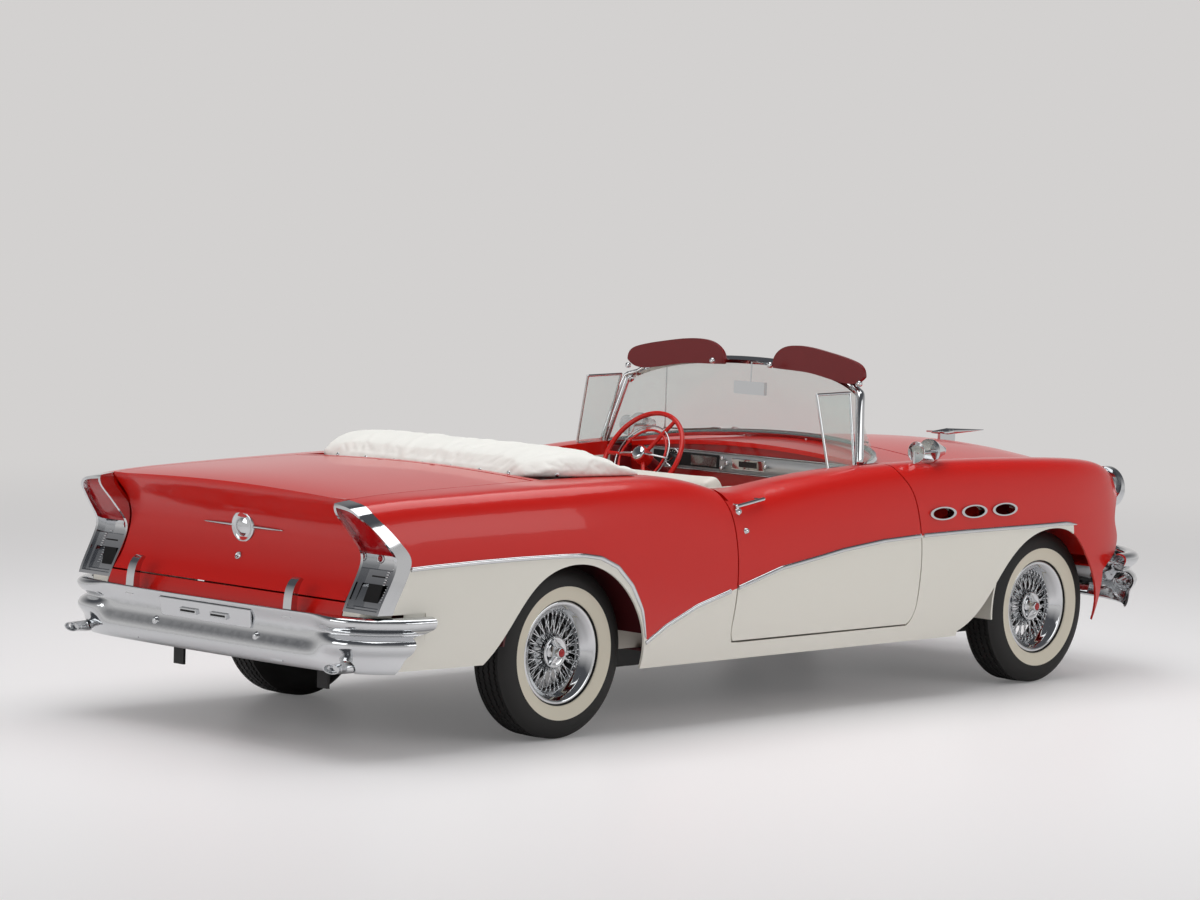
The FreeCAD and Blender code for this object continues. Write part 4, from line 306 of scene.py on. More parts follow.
makeCamera()
makeFloor()
makeWorld()
addLamp("overheadSoftbox", (0, 0, 6.5), (0, 0, 0), 9, 6, stageSizes["keyPower"])
addLamp("sideSoftbox", (2, -9, 4.0), (0, 0, 0.6), 8, 3, stageSizes["fillPower"])
addLamp("rearSoftbox", (-10, 2, 4.0), (0, 0, 0.6), 6, 3, stageSizes["fillPower"])
bpy.context.scene.view_settings.view_transform = "Standard"
print("camera and stage made")


# Materials

colours = {
    "signalRed": "#CE1409",
    "creamWhite": "#E9E6DC",
    "darkRed": "#6E0D12",
    "maroonTrim": "#4A0A10",
    "whiteHide": "#DDD8CF",
    "bootCloth": "#E9E8E3",
    "tyreBlack": "#191817",
    "whitewall": "#DDD6C4",
    "chromeTint": "#D4D6D8",
    "underbodyBlack": "#1B1B1C",
    "ironGrey": "#4B4F4E",
    "glassGreen": "#BFD8D0",
    "lensRed": "#A60B12",
    "lampGlass": "#F2F2EE",
    "dashSilver": "#B9BBBC",
    "wheelRed": "#C31A12",
    "dashRed": "#A3130F",
    "shadowAndRubberBlack": "#0C0C0D",
    "dialBlack": "#17191B",
    "dialWhite": "#EDEBE4",
}
grainMm = {"plateWave": 1000 / 9, "orangePeel": 6.25, "vinyl": 1000 / 300, "castSkin": 1000 / 90}


def chromeMaterial():  # bright plate over polished nickel: a near mirror with faint long waves
    material, tree, shader = startMaterial("polishedChromePlate",
                                           Base_Color=linearColour(colours["chromeTint"]),
                                           Metallic=1.0, Roughness=0.07)
    addGrain(tree, shader.inputs["Normal"], grainMm["plateWave"], 1.0, 0.04, 0.004)
    return material


# sprayed and polished nitrocellulose lacquer: deep colour under a clear gloss
def lacquerMaterial(name, hexText):
    material, tree, shader = startMaterial(name, Base_Color=linearColour(hexText), Roughness=0.28,
                                           Specular_IOR_Level=0.3, Coat_Weight=0.45, Coat_Roughness=0.04)
    addGrain(tree, shader.inputs["Coat Normal"], grainMm["orangePeel"], 2.0, 0.012, 0.001)
    return material


toneLine = {  # the line between the two colours, as (x, z) in metres along the side: cream below, red above
    "start": -2.6, "end": 2.2, "top": 1.2,
    "front": [(1.90, 0.0), (1.80, 0.0), (1.795, 0.728), (1.71, 0.737), (1.53, 0.736), (1.26, 0.736),
              (0.97, 0.735), (0.685, 0.731), (0.41, 0.720), (0.14, 0.694), (0.0075, 0.674),
              (-0.2545, 0.638), (-0.5145, 0.572), (-0.7665, 0.510), (-0.9465, 0.438), (-1.0525, 0.375)],
    "rear": [(-1.0605, 0.40), (-1.0955, 0.514), (-1.1605, 0.616), (-1.2465, 0.695), (-1.3425, 0.736),
             (-1.4365, 0.750), (-1.5525, 0.753), (-1.7795, 0.753), (-2.0025, 0.749), (-2.2205, 0.742),
             (-2.3755, 0.734), (-2.6, 0.732)],
}


# the same lacquer in two colours, masked along the chrome spear: a crisp line under the metal
def twoToneMaterial():
    material = lacquerMaterial("twoToneLacquer", colours["signalRed"])
    tree = material.node_tree
    shader = next(node for node in tree.nodes if node.type == "BSDF_PRINCIPLED")
    parts = placeParts(tree)
    start, top = toneLine["start"], toneLine["top"]
    span = toneLine["end"] - start
    curve = addNode(tree, "FloatCurve",
                    links={"Value": mathNode(tree, "MULTIPLY_ADD", parts["X"], 1 / span, -start / span)})
    points = toneLine["rear"][::-1] + toneLine["front"][::-1]
    line = curve.mapping.curves[0]
    while len(line.points) < len(points):
        line.points.new(0.5, 0.5)
    for point, (x, z) in zip(line.points, points):
        point.location = ((x - start) / span, z / top)
        point.handle_type = "VECTOR"
    curve.mapping.update()
    below = mathNode(tree, "LESS_THAN", mathNode(tree, "DIVIDE", parts["Z"], top), curve.outputs[0])
    mixColours(tree, shader, below, colours["signalRed"], colours["creamWhite"])
    return material


def plainMaterial(name, colour, roughness, metallic=0.0, grain=0.0, grainSize="vinyl"):
    material, tree, shader = startMaterial(name, Base_Color=linearColour(colours[colour]),
                                           Roughness=roughness, Metallic=metallic)
    if grain:
        addGrain(tree, shader.inputs["Normal"], grainMm[grainSize], 3.0, grain, 0.002)
    return material


def glassMaterial():  # rolled and laminated sheet glass, lightly green: clear, with soft reflections
    return startMaterial("tintedSheetGlass", Base_Color=linearColour(colours["glassGreen"]), Roughness=0.0,
                         Alpha=0.2, Transmission_Weight=0.0, Specular_IOR_Level=0.6)[0]


tyreSizes = {"wheelZ": 0.348, "bandInner": 0.212, "bandOuter": 0.268, "bandFrom": 0.77}


# moulded rubber with a bonded white band: dull black round a clean pale ring
def tyreMaterial(name, wheelX):
    material, tree, shader = startMaterial(name, Roughness=0.62)
    parts = placeParts(tree)
    inner, outer = tyreSizes["bandInner"], tyreSizes["bandOuter"]
    along = mathNode(tree, "SUBTRACT", parts["X"], wheelX)
    rise = mathNode(tree, "SUBTRACT", parts["Z"], tyreSizes["wheelZ"])
    square = mathNode(tree, "MULTIPLY_ADD", rise, rise, mathNode(tree, "MULTIPLY", along, along))
    radius = mathNode(tree, "SQRT", square)
    band = mathNode(tree, "COMPARE", radius, (inner + outer) / 2, (outer - inner) / 2)
    outside = mathNode(tree, "GREATER_THAN", mathNode(tree, "ABSOLUTE", parts["Y"]), tyreSizes["bandFrom"])
    mixColours(tree, shader, mathNode(tree, "MULTIPLY", band, outside), colours["tyreBlack"],
               colours["whitewall"])
    return material


chrome = chromeMaterial()
redLacquer = lacquerMaterial("redLacquer", colours["signalRed"])
creamLacquer = lacquerMaterial("creamLacquer", colours["creamWhite"])
dashLacquer = lacquerMaterial("dashRedLacquer", colours["dashRed"])
twoTone = twoToneMaterial()
clearGlass = glassMaterial()
darkRedPaint = plainMaterial("darkRedEnamel", "darkRed", 0.35)  # brushed enamel: a satin dark red
# embossed cloth: a broken sheen
maroonVinyl = plainMaterial("grainedMaroonVinyl", "maroonTrim", 0.5, grain=0.2)
# the same, smoother and paler
whiteVinyl = plainMaterial("grainedWhiteVinyl", "whiteHide", 0.42, grain=0.15)
bootVinyl = plainMaterial("coatedBootCloth", "bootCloth", 0.6, grain=0.2)  # coated canvas: chalky and matt
# dipped paint: dull black
underPaint = plainMaterial("chassisBlackPaint", "underbodyBlack", 0.5, grain=0.1)
# sand cast and painted over: a rough grey skin
castIron = plainMaterial("paintedCastIron", "ironGrey", 0.6, grain=0.4, grainSize="castSkin")
lampGlass = plainMaterial("pressedLampGlass", "lampGlass", 0.06)  # pressed glass: bright and glossy
wheelPlastic = plainMaterial("mouldedRedPlastic", "wheelRed", 0.22)  # hot moulded: a slick red
redLens = plainMaterial("mouldedRedLens", "lensRed", 0.12)  # polished mould: a deep glossy red
shadeAndRubberBlack = plainMaterial("paintedShadeAndBlackRubber", "shadowAndRubberBlack", 0.8)  # painted shade in slots, lamp pockets and gauge recess; real black of wiper rubber
silverPaint = plainMaterial("silverHammerPaint", "dashSilver", 0.35, 0.6)  # metallic spray: a soft sheen
dialPaint = plainMaterial("silkScreenedDial", "dialBlack", 0.25)  # printed under glass: smooth black
whitePaint = plainMaterial("dialWhitePaint", "dialWhite", 0.5)  # printed marks: plain white
print("materials made")

paintPlan = (  # every other node is chrome
    (twoTone, "front_fenders quarter_panels door_left door_right"),
    (redLacquer, "hood cowl trunk_lid rear_deck rear_valance front_panel"),
    (creamLacquer, "rockers"),
    (redLens, "tail_lenses"),
    (underPaint, "chassis_frame front_suspension rear_axle knuckle_left knuckle_right fuel_tank radiator "
                 "door_hinges front_seat_frame"),
    (castIron, "engine_block"),
    (maroonVinyl, "floor_pan"),
    (darkRedPaint, "firewall steering_column sun_visors"),
    (whiteVinyl, "front_seat_cushion front_seat_back rear_seat_cushion rear_seat_back"),
    (bootVinyl, "top_boot"),
    (dashLacquer, "dashboard"),
    (wheelPlastic, "steering_wheel"),
    (clearGlass, "windshield_glass vent_glass_left vent_glass_right"),
)
paintOf = {name: material for material, names in paintPlan for name in names.split()}
for nodeName in nodes:
    if nodeName.startswith("tyre_"):
        low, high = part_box(nodeName)
        repaint(nodeName, tyreMaterial("rubber_" + nodeName, (low.x + high.x) / 2))
    else:
        repaint(nodeName, paintOf.get(nodeName, chrome))
print("solids painted")


# Mesh makers

def gridFaces(rows, columns, wrapRows=False, wrapColumns=False):  # quads over points laid out row by row
    faces = []
    for row in range(rows if wrapRows else rows - 1):
        after = (row + 1) % rows
        for column in range(columns if wrapColumns else columns - 1):
            following = (column + 1) % columns
            faces.append((row * columns + column, row * columns + following,
                          after * columns + following, after * columns + column))
    return faces


def ringMesh(name, profile, steps, closed=True):  # a section of (axial, radius) turned about the Y axis
    vertices = []
    for step in range(steps):
        angle = 2 * math.pi * step / steps
        for axial, radius in profile:
            vertices.append((radius * math.sin(angle), axial, radius * math.cos(angle)))
    return meshFrom(name, vertices, gridFaces(steps, len(profile), True, closed))


def skinRings(bm, rings, closed=False):  # joins rings of points by quads and closes the two ends
    for ring, following in list(zip(rings, rings[1:])) + ([(rings[-1], rings[0])] if closed else []):
        for index in range(len(ring)):
            after = (index + 1) % len(ring)
            bm.faces.new((ring[index], ring[after], following[after], following[index]))
    if not closed:
        bm.faces.new(list(reversed(rings[0])))
        bm.faces.new(rings[-1])


def ovalRing(bm, centre, first, second, sides):  # points round a centre, with two half axes
    turns = [2 * math.pi * side / sides for side in range(sides)]
    return [bm.verts.new(centre + (math.cos(turn) * first + math.sin(turn) * second)) for turn in turns]


def lineDirection(points, index, closed=False):  # the way a line of points runs at one of them
    count = len(points)
    if closed:
        ahead, behind = points[(index + 1) % count], points[index - 1]
    else:
        ahead, behind = points[min(index + 1, count - 1)], points[max(index - 1, 0)]
    return (Vector(ahead) - Vector(behind)).normalized()


def tubeInto(bm, points, radii, sides=8, closed=False):  # a round tube through points, added to a bmesh
    rings = []
    for index, point in enumerate(points):
        direction = lineDirection(points, index, closed)
        helper = Vector((0, 0, 1)) if abs(direction.z) < 0.9 else Vector(forward)  # never along the tube
        first = direction.cross(helper).normalized()
        radius = radii[index] if isinstance(radii, (list, tuple)) else radii
        rings.append(ovalRing(bm, Vector(point), radius * first, radius * direction.cross(first), sides))
    skinRings(bm, rings, closed)


def meshFromBmesh(name, bm):
    bmesh.ops.recalc_face_normals(bm, faces=bm.faces)
    mesh = bpy.data.meshes.new(name)
    bm.to_mesh(mesh)
    bm.free()
    return mesh


# turns faces outward, once near points are joined and holes closed
def mendMesh(mesh, weld=None, holeSides=None):
    bm = bmesh.new()
    bm.from_mesh(mesh)
    if weld:
        bmesh.ops.remove_doubles(bm, verts=bm.verts, dist=weld)
    if holeSides:
        bmesh.ops.holes_fill(bm, edges=bm.edges, sides=holeSides)
    bmesh.ops.recalc_face_normals(bm, faces=bm.faces)
    bm.to_mesh(mesh)
    bm.free()


def tubePiece(name, points, radii, body, material=chrome, sides=8):
    bm = bmesh.new()
    tubeInto(bm, points, radii, sides)
    return addPiece(name, meshFromBmesh(name, bm), body, material)


def scaled(radius, *shares):  # a section for turnedPiece: (axial in metres, share of the radius)
    return [(axial, radius * share) for axial, share in shares]


def turnedPiece(name, profile, place, direction, body="body", steps=24, material=chrome):
    mesh = ringMesh(name, profile, steps, closed=False)
    turn = Vector((0, 1, 0)).rotation_difference(Vector(direction).normalized()).to_matrix().to_4x4()
    mesh.transform(Matrix.Translation(place) @ turn)
    mendMesh(mesh, meshSizes["weldDistance"], steps)
    return addPiece(name, mesh, body, material)


def boxPiece(name, low, high, body="body", slotName="chrome", material=chrome, bevel=0.0015):
    corners = [(x, y, z) for x in (low[0], high[0]) for y in (low[1], high[1]) for z in (low[2], high[2])]
    faces = [(0, 1, 3, 2), (4, 6, 7, 5), (0, 4, 5, 1), (2, 3, 7, 6), (0, 2, 6, 4), (1, 5, 7, 3)]
    piece = addPiece(name, meshFrom(name, corners, faces), body, material, smooth=False)
    bevelPiece(piece, bevel, 3)


# a raised pad that follows a rear face
def wallPiece(name, panel, outline, thickness, material, bevel):
    bm = bmesh.new()
    hits = [backPoint(panel, y, z)[0] for y, z in outline]
    rings = [[bm.verts.new(hit + Vector((shift, 0, 0))) for hit in hits] for shift in (-thickness, 0.004)]
    skinRings(bm, rings)
    bmesh.ops.triangulate(bm, faces=[face for face in bm.faces if len(face.verts) > 4])
    bevelPiece(addPiece(name, meshFromBmesh(name, bm), "body", material, smooth=False), bevel, 2)


def walkLine(points, step):  # evenly spaced places along a line of points
    placesOn = [points[0]]
    for start, finish in zip(points, points[1:]):
        count = max(1, round((finish - start).length / step))
        placesOn.extend(start.lerp(finish, index / count) for index in range(1, count + 1))
    return placesOn


def smoothLine(points, rounds):  # cuts the corners of a line of points, its ends kept
    for _ in range(rounds):
        cut = [points[0]]
        for start, finish in zip(points, points[1:]):
            cut.append(start * 0.75 + finish * 0.25)
            cut.append(start * 0.25 + finish * 0.75)
        points = cut + [points[-1]]
    return points


# Wire wheels: a rim, two rows of crossed spokes, a hub, a three-bladed spinner and its red cap

wheelSizes = {  # metres and degrees; sections are (axial, radius)
    "faceY": 0.7495, "centreZ": 0.348, "spokePairs": 20, "spokeRadius": 0.0024, "spokeSides": 6,
    "spokeSwing": 13,
    "spokeRows": ((0.030, 0.056, 0.022, 0.158), (-0.010, 0.066, -0.012, 0.152)),
    "nippleShare": 1.7, "nippleLength": 0.012, "nippleSink": 0.003, "bladeCount": 3, "bladeTurn": 0.35,
    "bladeSlope": 0.22, "bladeRoot": 0.020, "bladeEdge": 0.0018,
    "bladeRows": ((0.55, 0.072), (1.0, 0.058)),
    "blade": ((-0.010, 0.020), (-0.013, 0.034), (-0.011, 0.047), (-0.004, 0.060), (0.004, 0.062),
              (0.010, 0.048), (0.012, 0.034), (0.010, 0.020)),
    "rim": ((0.069, 0.1776), (0.069, 0.2065), (0.073, 0.2078), (0.0745, 0.2072), (0.0748, 0.198),
            (0.070, 0.190), (0.060, 0.184), (0.052, 0.180), (0.040, 0.170), (0.030, 0.163), (0.018, 0.156),
            (0.006, 0.152), (-0.02, 0.151), (-0.035, 0.156), (-0.050, 0.168), (-0.062, 0.176),
            (-0.073, 0.184), (-0.0748, 0.200), (-0.0745, 0.2072), (-0.069, 0.2065), (-0.069, 0.1776),
            (0.0, 0.1770)),
    "hub": ((-0.020, 0.0205), (-0.020, 0.070), (-0.014, 0.0735), (-0.004, 0.070), (0.006, 0.054),
            (0.020, 0.050), (0.030, 0.0505), (0.036, 0.058), (0.041, 0.0635), (0.045, 0.0645),
            (0.049, 0.062), (0.050, 0.055), (0.046, 0.047), (0.044, 0.040), (0.050, 0.034), (0.064, 0.029),
            (0.074, 0.0245), (0.080, 0.022), (0.083, 0.019), (0.0825, 0.0175), (0.040, 0.0173),
            (0.036, 0.0205)),
    "cap": ((0.076, 0.0172), (0.0815, 0.0170), (0.084, 0.014), (0.0855, 0.009), (0.086, 0.0004),
            (0.076, 0.0004)),
}


def spokeMesh(name):
    size = wheelSizes
    bm = bmesh.new()
    count = size["spokePairs"] * 2
    for index in range(count):
        swing = math.radians(size["spokeSwing"] if index % 2 else -size["spokeSwing"])
        for row, (hubY, hubR, rimY, rimR) in enumerate(size["spokeRows"]):
            far = 2 * math.pi * index / count + row * math.pi / count
            near = far + swing
            root = Vector((hubR * math.sin(near), hubY, hubR * math.cos(near)))
            tip = Vector((rimR * math.sin(far), rimY, rimR * math.cos(far)))
            out = (tip - root).normalized()
            tubeInto(bm, [root, tip], size["spokeRadius"], size["spokeSides"])
            tubeInto(bm, [tip - out * size["nippleLength"], tip + out * size["nippleSink"]],
                     size["spokeRadius"] * size["nippleShare"], size["spokeSides"])
    return meshFromBmesh(name, bm)


def spinnerMesh(name):
    size = wheelSizes
    bm = bmesh.new()
    for blade in range(size["bladeCount"]):
        turned = Matrix.Rotation(2 * math.pi * blade / size["bladeCount"] + size["bladeTurn"], 4, "Y")
        places = [(x, size["bladeSlope"] * (z - size["bladeRoot"]), z) for x, z in size["blade"]]
        skinRings(bm, [[bm.verts.new(turned @ Vector((x * share, lift - drop, z))) for x, drop, z in places]
                       for share, lift in size["bladeRows"]])
    return meshFromBmesh(name, bm)


def makeWheel(corner, side):
    name, nodeName = "wire_" + corner, "wheel_" + corner
    low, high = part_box(nodeName)
    centre = Vector(((low.x + high.x) / 2, side * wheelSizes["faceY"], wheelSizes["centreZ"]))
    place = Matrix.Translation(centre) @ Matrix.Rotation(0 if side > 0 else math.pi, 4, "Z")
    meshes = {
        "rim": ringMesh(name + "_rim", wheelSizes["rim"], 96),
        "spokes": spokeMesh(name + "_spokes"),
        "hub": ringMesh(name + "_hub", wheelSizes["hub"], 64),
        "spinner": spinnerMesh(name + "_spinner"),
        "centreCap": ringMesh(name + "_centreCap", wheelSizes["cap"], 40),
    }
    made = {}
    for word, mesh in meshes.items():
        mesh.transform(place)
        slotName, material = ("red_trim", redLens) if word == "centreCap" else ("chrome", chrome)
        made[word] = addPiece(f"{name}_{word}", mesh, nodeName, material,
                              smooth=word != "spinner")
    bevelPiece(made["spinner"], wheelSizes["bladeEdge"])
    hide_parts(nodeName)


for corner, side in wheelCorners:
    makeWheel(corner, side)
print("wire wheels made")

# Chrome spear along the parting of the two colours

spearSizes = {
    "halfHeight": 0.0095, "standOut": 0.0065, "step": 0.018, "noseTaper": 0.09, "noseShare": 0.35,
    "section": ((-1.0, -0.25), (-0.92, 0.45), (-0.45, 0.92), (0.0, 1.0), (0.45, 0.92), (0.92, 0.45),
                (1.0, -0.25)),
    "frontEnd": 1.80, "quarterEnd": -1.06, "tailStart": -1.05, "tailEnd": -2.36, "doorGap": 0.004,
    "panelGap": 0.010,
}


def spearStrip(name, panel, body, line, side, lowX, highX):
    size = spearSizes
    rows = []
    for index, place in enumerate(line):
        if not lowX <= place.x <= highX:
            continue
        hit, normal = sidePoint(panel, place.x, place.y, side)
        if hit is None:
            continue
        run = lineDirection(line, index)
        out = Vector((0, normal.y, normal.z)).normalized()
        if out.y * side < 0:
            out = -out
        across = Vector((run.x, 0, run.y)).cross(out).normalized()
        taper = min(1.0, size["noseShare"] + abs(place.x - line[0].x) / size["noseTaper"])
        rows.append([hit + across * (size["halfHeight"] * taper * u) + out * (size["standOut"] * v)
                     for u, v in size["section"]])
    if len(rows) < 2:
        return
    count = len(rows[0])
    ends = [tuple(range(count)), tuple(reversed(range((len(rows) - 1) * count, len(rows) * count)))]
    faces = gridFaces(len(rows), count, False, True) + ends
    mesh = meshFrom(name, [point for row in rows for point in row], faces)
    addPiece(name, mesh, body, chrome)


def makeSpears():
    size = spearSizes
    frontLine, rearLine = (smoothLine(walkLine([Vector(place) for place in places], size["step"]), 2)
                           for places in (toneLine["front"][2:], toneLine["rear"][:-1]))
    doorLow, doorHigh = (corner.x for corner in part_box("door_left"))
    for side, word in bothSides:
        door = "door_" + word
        for name, panel, body, line, lowX, highX in (
                ("fenderSpear", "front_fenders", "body", frontLine, doorHigh + size["panelGap"],
                 size["frontEnd"]),
                ("doorSpear", door, door, frontLine, doorLow + size["doorGap"], doorHigh - size["doorGap"]),
                ("quarterSpear", "quarter_panels", "body", frontLine, size["quarterEnd"],
                 doorLow - size["panelGap"]),
                ("tailSpear", "quarter_panels", "body", rearLine, size["tailEnd"], size["tailStart"])):
            spearStrip(f"{name}_{word}", panel, body, line, side, lowX, highX)


makeSpears()
print("chrome spears made")


# Trunk medallion, lock, the bumper's plate panel with its slots, and bolts

rearTrim = {
    "medallionZ": 0.826, "medallionRadius": 0.066, "barHalfLength": 0.235, "barPoints": 15,
    "barThickness": 0.0058, "barTip": 0.0012, "barLift": 0.0035, "lockZ": 0.712,
    "panelZ": (0.462, 0.534), "panelHalfWidth": 0.265, "panelThickness": 0.007, "slotZ": 0.494,
    "slotOffset": 0.09, "slotHalfLength": 0.044, "slotHalfHeight": 0.0045, "slotStandOut": 0.0095,
    "boltOffset": 0.30, "boltZ": 0.437,
}


def makeMedallion():
    size = rearTrim
    radius = size["medallionRadius"]
    hit, normal = backPoint("trunk_lid", 0, size["medallionZ"])
    profile = scaled(radius, (-0.006, 1), (0.004, 1), (0.010, 0.93), (0.011, 0.84), (0.006, 0.76),
                     (0.005, 0.58), (0.010, 0.48), (0.015, 0.30))
    turnedPiece("trunkMedallion", profile + [(0.017, 0.0005)], hit, normal, "trunk_lid", 56)
    start = radius * 0.8
    for side, word in bothSides:
        points, widths = [], []
        for step in range(size["barPoints"]):
            share = step / (size["barPoints"] - 1)
            at, out = backPoint("trunk_lid", side * (start + share * (size["barHalfLength"] - start)),
                                size["medallionZ"] + 0.004)
            points.append(at + out * size["barLift"])
            widths.append(size["barThickness"] * (1 - share) ** 0.5 + size["barTip"])
        tubePiece("medallionBar_" + word, points, widths, "trunk_lid", sides=10)
    hit, normal = backPoint("trunk_lid", 0, size["lockZ"])
    lock = [(-0.004, 0.0165), (0.003, 0.0165), (0.006, 0.0145), (0.0065, 0.010), (0.004, 0.0085),
            (0.004, 0.0035), (0.001, 0.003), (0.001, 0.0004)]
    turnedPiece("trunkLock", lock, hit, normal, "trunk_lid", 32)


def makePlatePanel():
    size = rearTrim
    low, high = size["panelZ"]
    half = size["panelHalfWidth"]
    outline = [(half * share, low) for share in (-1, -0.5, 0, 0.5, 1)]
    outline += [(half * share, high) for share in (1.03, 0.5, 0, -0.5, -1.03)]
    wallPiece("platePanel", "bumper_rear", outline, size["panelThickness"], chrome, 0.0025)
    for side, word in bothSides:
        middle = side * size["slotOffset"]
        hit, _ = backPoint("bumper_rear", middle, size["slotZ"])
        edges = [backPoint("bumper_rear", middle, edge)[0].x for edge in (low, high)]
        front = min(edges) - size["slotStandOut"]
        # the smaller flat black box inside each chrome rim is painted shade, standing for the depth of the
        # slot
        for label, grow, depth, slotName, material in (("Rim", 0.006, 0.0, "chrome", chrome),
                                                       ("Hole", 0.0, 0.0008, None, shadeAndRubberBlack)):
            reach, rise = size["slotHalfLength"] + grow, size["slotHalfHeight"] + grow
            boxPiece(f"plateSlot{label}_{word}", (front - depth, middle - reach, size["slotZ"] - rise),
                     (hit.x, middle + reach, size["slotZ"] + rise), "body", slotName, material, 0.0018)
        hit, normal = backPoint("bumper_rear", side * size["boltOffset"], size["boltZ"])
        bolt = [(-0.003, 0.017), (0.002, 0.017), (0.0045, 0.0145), (0.005, 0.012), (0.010, 0.009),
                (0.012, 0.0045), (0.0125, 0.0004)]
        turnedPiece("bumperBolt_" + word, bolt, hit, normal, "body", 32)


makeMedallion()
makePlatePanel()
print("rear trim made")


# Tail lamps: a red tip and ring on each bullet, and on the housing below a flat black pad of painted shade
# in the pocket, and chrome ribs

lampTrim = {
    "bullet": (0.758, 0.768), "tipRadius": 0.0135, "tipLength": 0.010,
    "pocket": ((0.742, 0.606), (0.822, 0.606), (0.832, 0.706), (0.758, 0.706)),
    "pocketShadeThickness": 0.0012, "ribCount": 14, "ribLow": 0.610, "ribGap": 0.0095, "ribY": 0.842,
    "ribHalf": 0.006, "ribRise": 0.004,
}


def makeLampTrim():
    size = lampTrim
    radius, rise, half = size["tipRadius"], size["ribRise"], size["ribHalf"]
    for side, word in bothSides:
        hit, _ = backPoint("tail_lamps", side * size["bullet"][0], size["bullet"][1])
        tip = scaled(radius, (-0.004, 1), (0.001, 1), (0.005, 0.86), (0.0085, 0.5))
        tip.append((size["tipLength"], 0.0004))
        turnedPiece("reflectorTip_" + word, tip, hit, rearward, "body", 32, redLens)
        ring = scaled(radius, (-0.004, 1.5), (0.002, 1.5), (0.005, 1.3), (0.005, 1), (-0.004, 1))
        turnedPiece("reflectorRing_" + word, ring, hit, rearward, "body", 32)
        # a thin flat black pad on the pocket's back face: painted shade, where the pocket reads dark
        outline = [(side * y, z) for y, z in size["pocket"]]
        wallPiece("lampPocketShade_" + word, "tail_lamps", outline, size["pocketShadeThickness"], shadeAndRubberBlack,
                  0.0004)
        for index in range(size["ribCount"]):
            z = size["ribLow"] + index * size["ribGap"]
            y = side * size["ribY"]
            hit, _ = backPoint("tail_lamps", y, z)
            boxPiece(f"lampRib_{word}_{index}", (hit.x - rise, y - half, z - rise / 2),
                     (hit.x + 0.002, y + half, z + rise / 2), bevel=0.0006)


makeLampTrim()
print("lamp trim made")

# Soft goods: seats, and the cover over the folded top

softSizes = {  # metres, but for pressures, shares and counts
    "voxel": 0.011, "coverVoxelShare": 0.8, "frames": 14, "quality": 5, "seatPressure": 4.0,
    "coverPressure": 2.2, "coverSlack": -0.02, "seatCap": 0.016, "coverCap": 0.011, "coverRounds": 5,
    "coverRim": 0.028, "coverFill": 0.55, "channelGap": 0.082, "channelEnd": 0.10, "channelDepth": 0.010,
    "channelWidth": 0.012, "foldCount": 26, "foldWidth": (0.02, 0.05), "foldLean": (-0.5, 0.5),
    "foldHeight": (0.0015, 0.0035), "foldWave": 2.4, "foldCap": 0.005, "foldFade": 0.03,
    "snapRadius": 0.0085, "snapCount": 9, "snapShare": 0.86, "snapLift": 0.030,
}
seatPlan = (  # node, fill, the side that faces the sitter, and rounds of smoothing
    ("front_seat_back", 0.75, (1, 0, 0), 22),
    ("front_seat_cushion", 0.7, (0, 0, 1), 14),
    ("rear_seat_back", 0.75, (1, 0, 0), 14),
    ("rear_seat_cushion", 0.7, (0, 0, 1), 14),
)


def applyModifiers(piece):
    graph = bpy.context.evaluated_depsgraph_get()
    graph.update()
    made = bpy.data.meshes.new_from_object(piece.evaluated_get(graph))
    piece.modifiers.clear()
    piece.data = made


def softCopy(name, nodeName, voxel):  # a remeshed copy of a soft piece's solid
    mesh = nodes[nodeName].data.copy()
    mesh.name = name
    mesh.materials.clear()
    piece = addObject(name, mesh)
    addModifier(piece, "evenGrid", "REMESH", mode="VOXEL", voxel_size=voxel)
    applyModifiers(piece)
    return piece


def relaxSurface(piece, rounds, factor=0.5):  # rounds hard corners as foam under a cover does
    bm = bmesh.new()
    bm.from_mesh(piece.data)
    for _ in range(rounds):
        bmesh.ops.smooth_vert(bm, verts=bm.verts, factor=factor, use_axis_x=True, use_axis_y=True,
                              use_axis_z=True)
    bm.to_mesh(piece.data)
    bm.free()


# inflates a cover by simulation, no point moving beyond the cap
def puff(piece, cap, pressure, slack=0.0, held=None):
    before = [vertex.co.copy() for vertex in piece.data.vertices]
    cloth = addModifier(piece, "cover", "CLOTH").settings
    if held is not None:
        group = piece.vertex_groups.new(name="heldEdge")
        group.add([vertex.index for vertex in piece.data.vertices if held(vertex.co)], 1.0, "REPLACE")
        cloth.vertex_group_mass = "heldEdge"
    setValues(cloth, use_pressure=True, uniform_pressure_force=pressure, shrink_min=slack,
              quality=softSizes["quality"])
    cloth.effector_weights.gravity = 0.0
    scene = bpy.context.scene
    for number in range(1, softSizes["frames"] + 1):
        scene.frame_set(number)
    applyModifiers(piece)
    scene.frame_set(1)
    for vertex, start in zip(piece.data.vertices, before):
        move = vertex.co - start
        if move.length > cap:
            vertex.co = start + move * (cap / move.length)
    piece.vertex_groups.clear()


def finishSoft(piece, material, nodeName):
    relaxSurface(piece, 1, 0.4)
    piece.data.materials.append(material)
    smoothFaces(piece.data)
    addModifier(piece, "softSurface", "SUBSURF", levels=1, render_levels=1)
    applyModifiers(piece)
    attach(piece, "body")
    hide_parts(nodeName)


# presses straight sewn channels into the sitter's side of a cushion
def sewChannels(piece, start, finish, facing):
    gap, depth, width = (softSizes[key] for key in ("channelGap", "channelDepth", "channelWidth"))
    normals = [vertex.normal.copy() for vertex in piece.data.vertices]
    for vertex, normal in zip(piece.data.vertices, normals):
        strength = max(0.0, normal.dot(facing) - 0.3) / 0.7
        if strength <= 0 or not start <= vertex.co.y <= finish:
            continue
        nearest = abs((vertex.co.y - start) % gap)
        nearest = min(nearest, gap - nearest)
        vertex.co -= normal * (depth * strength * math.exp(-(nearest / width) ** 2))


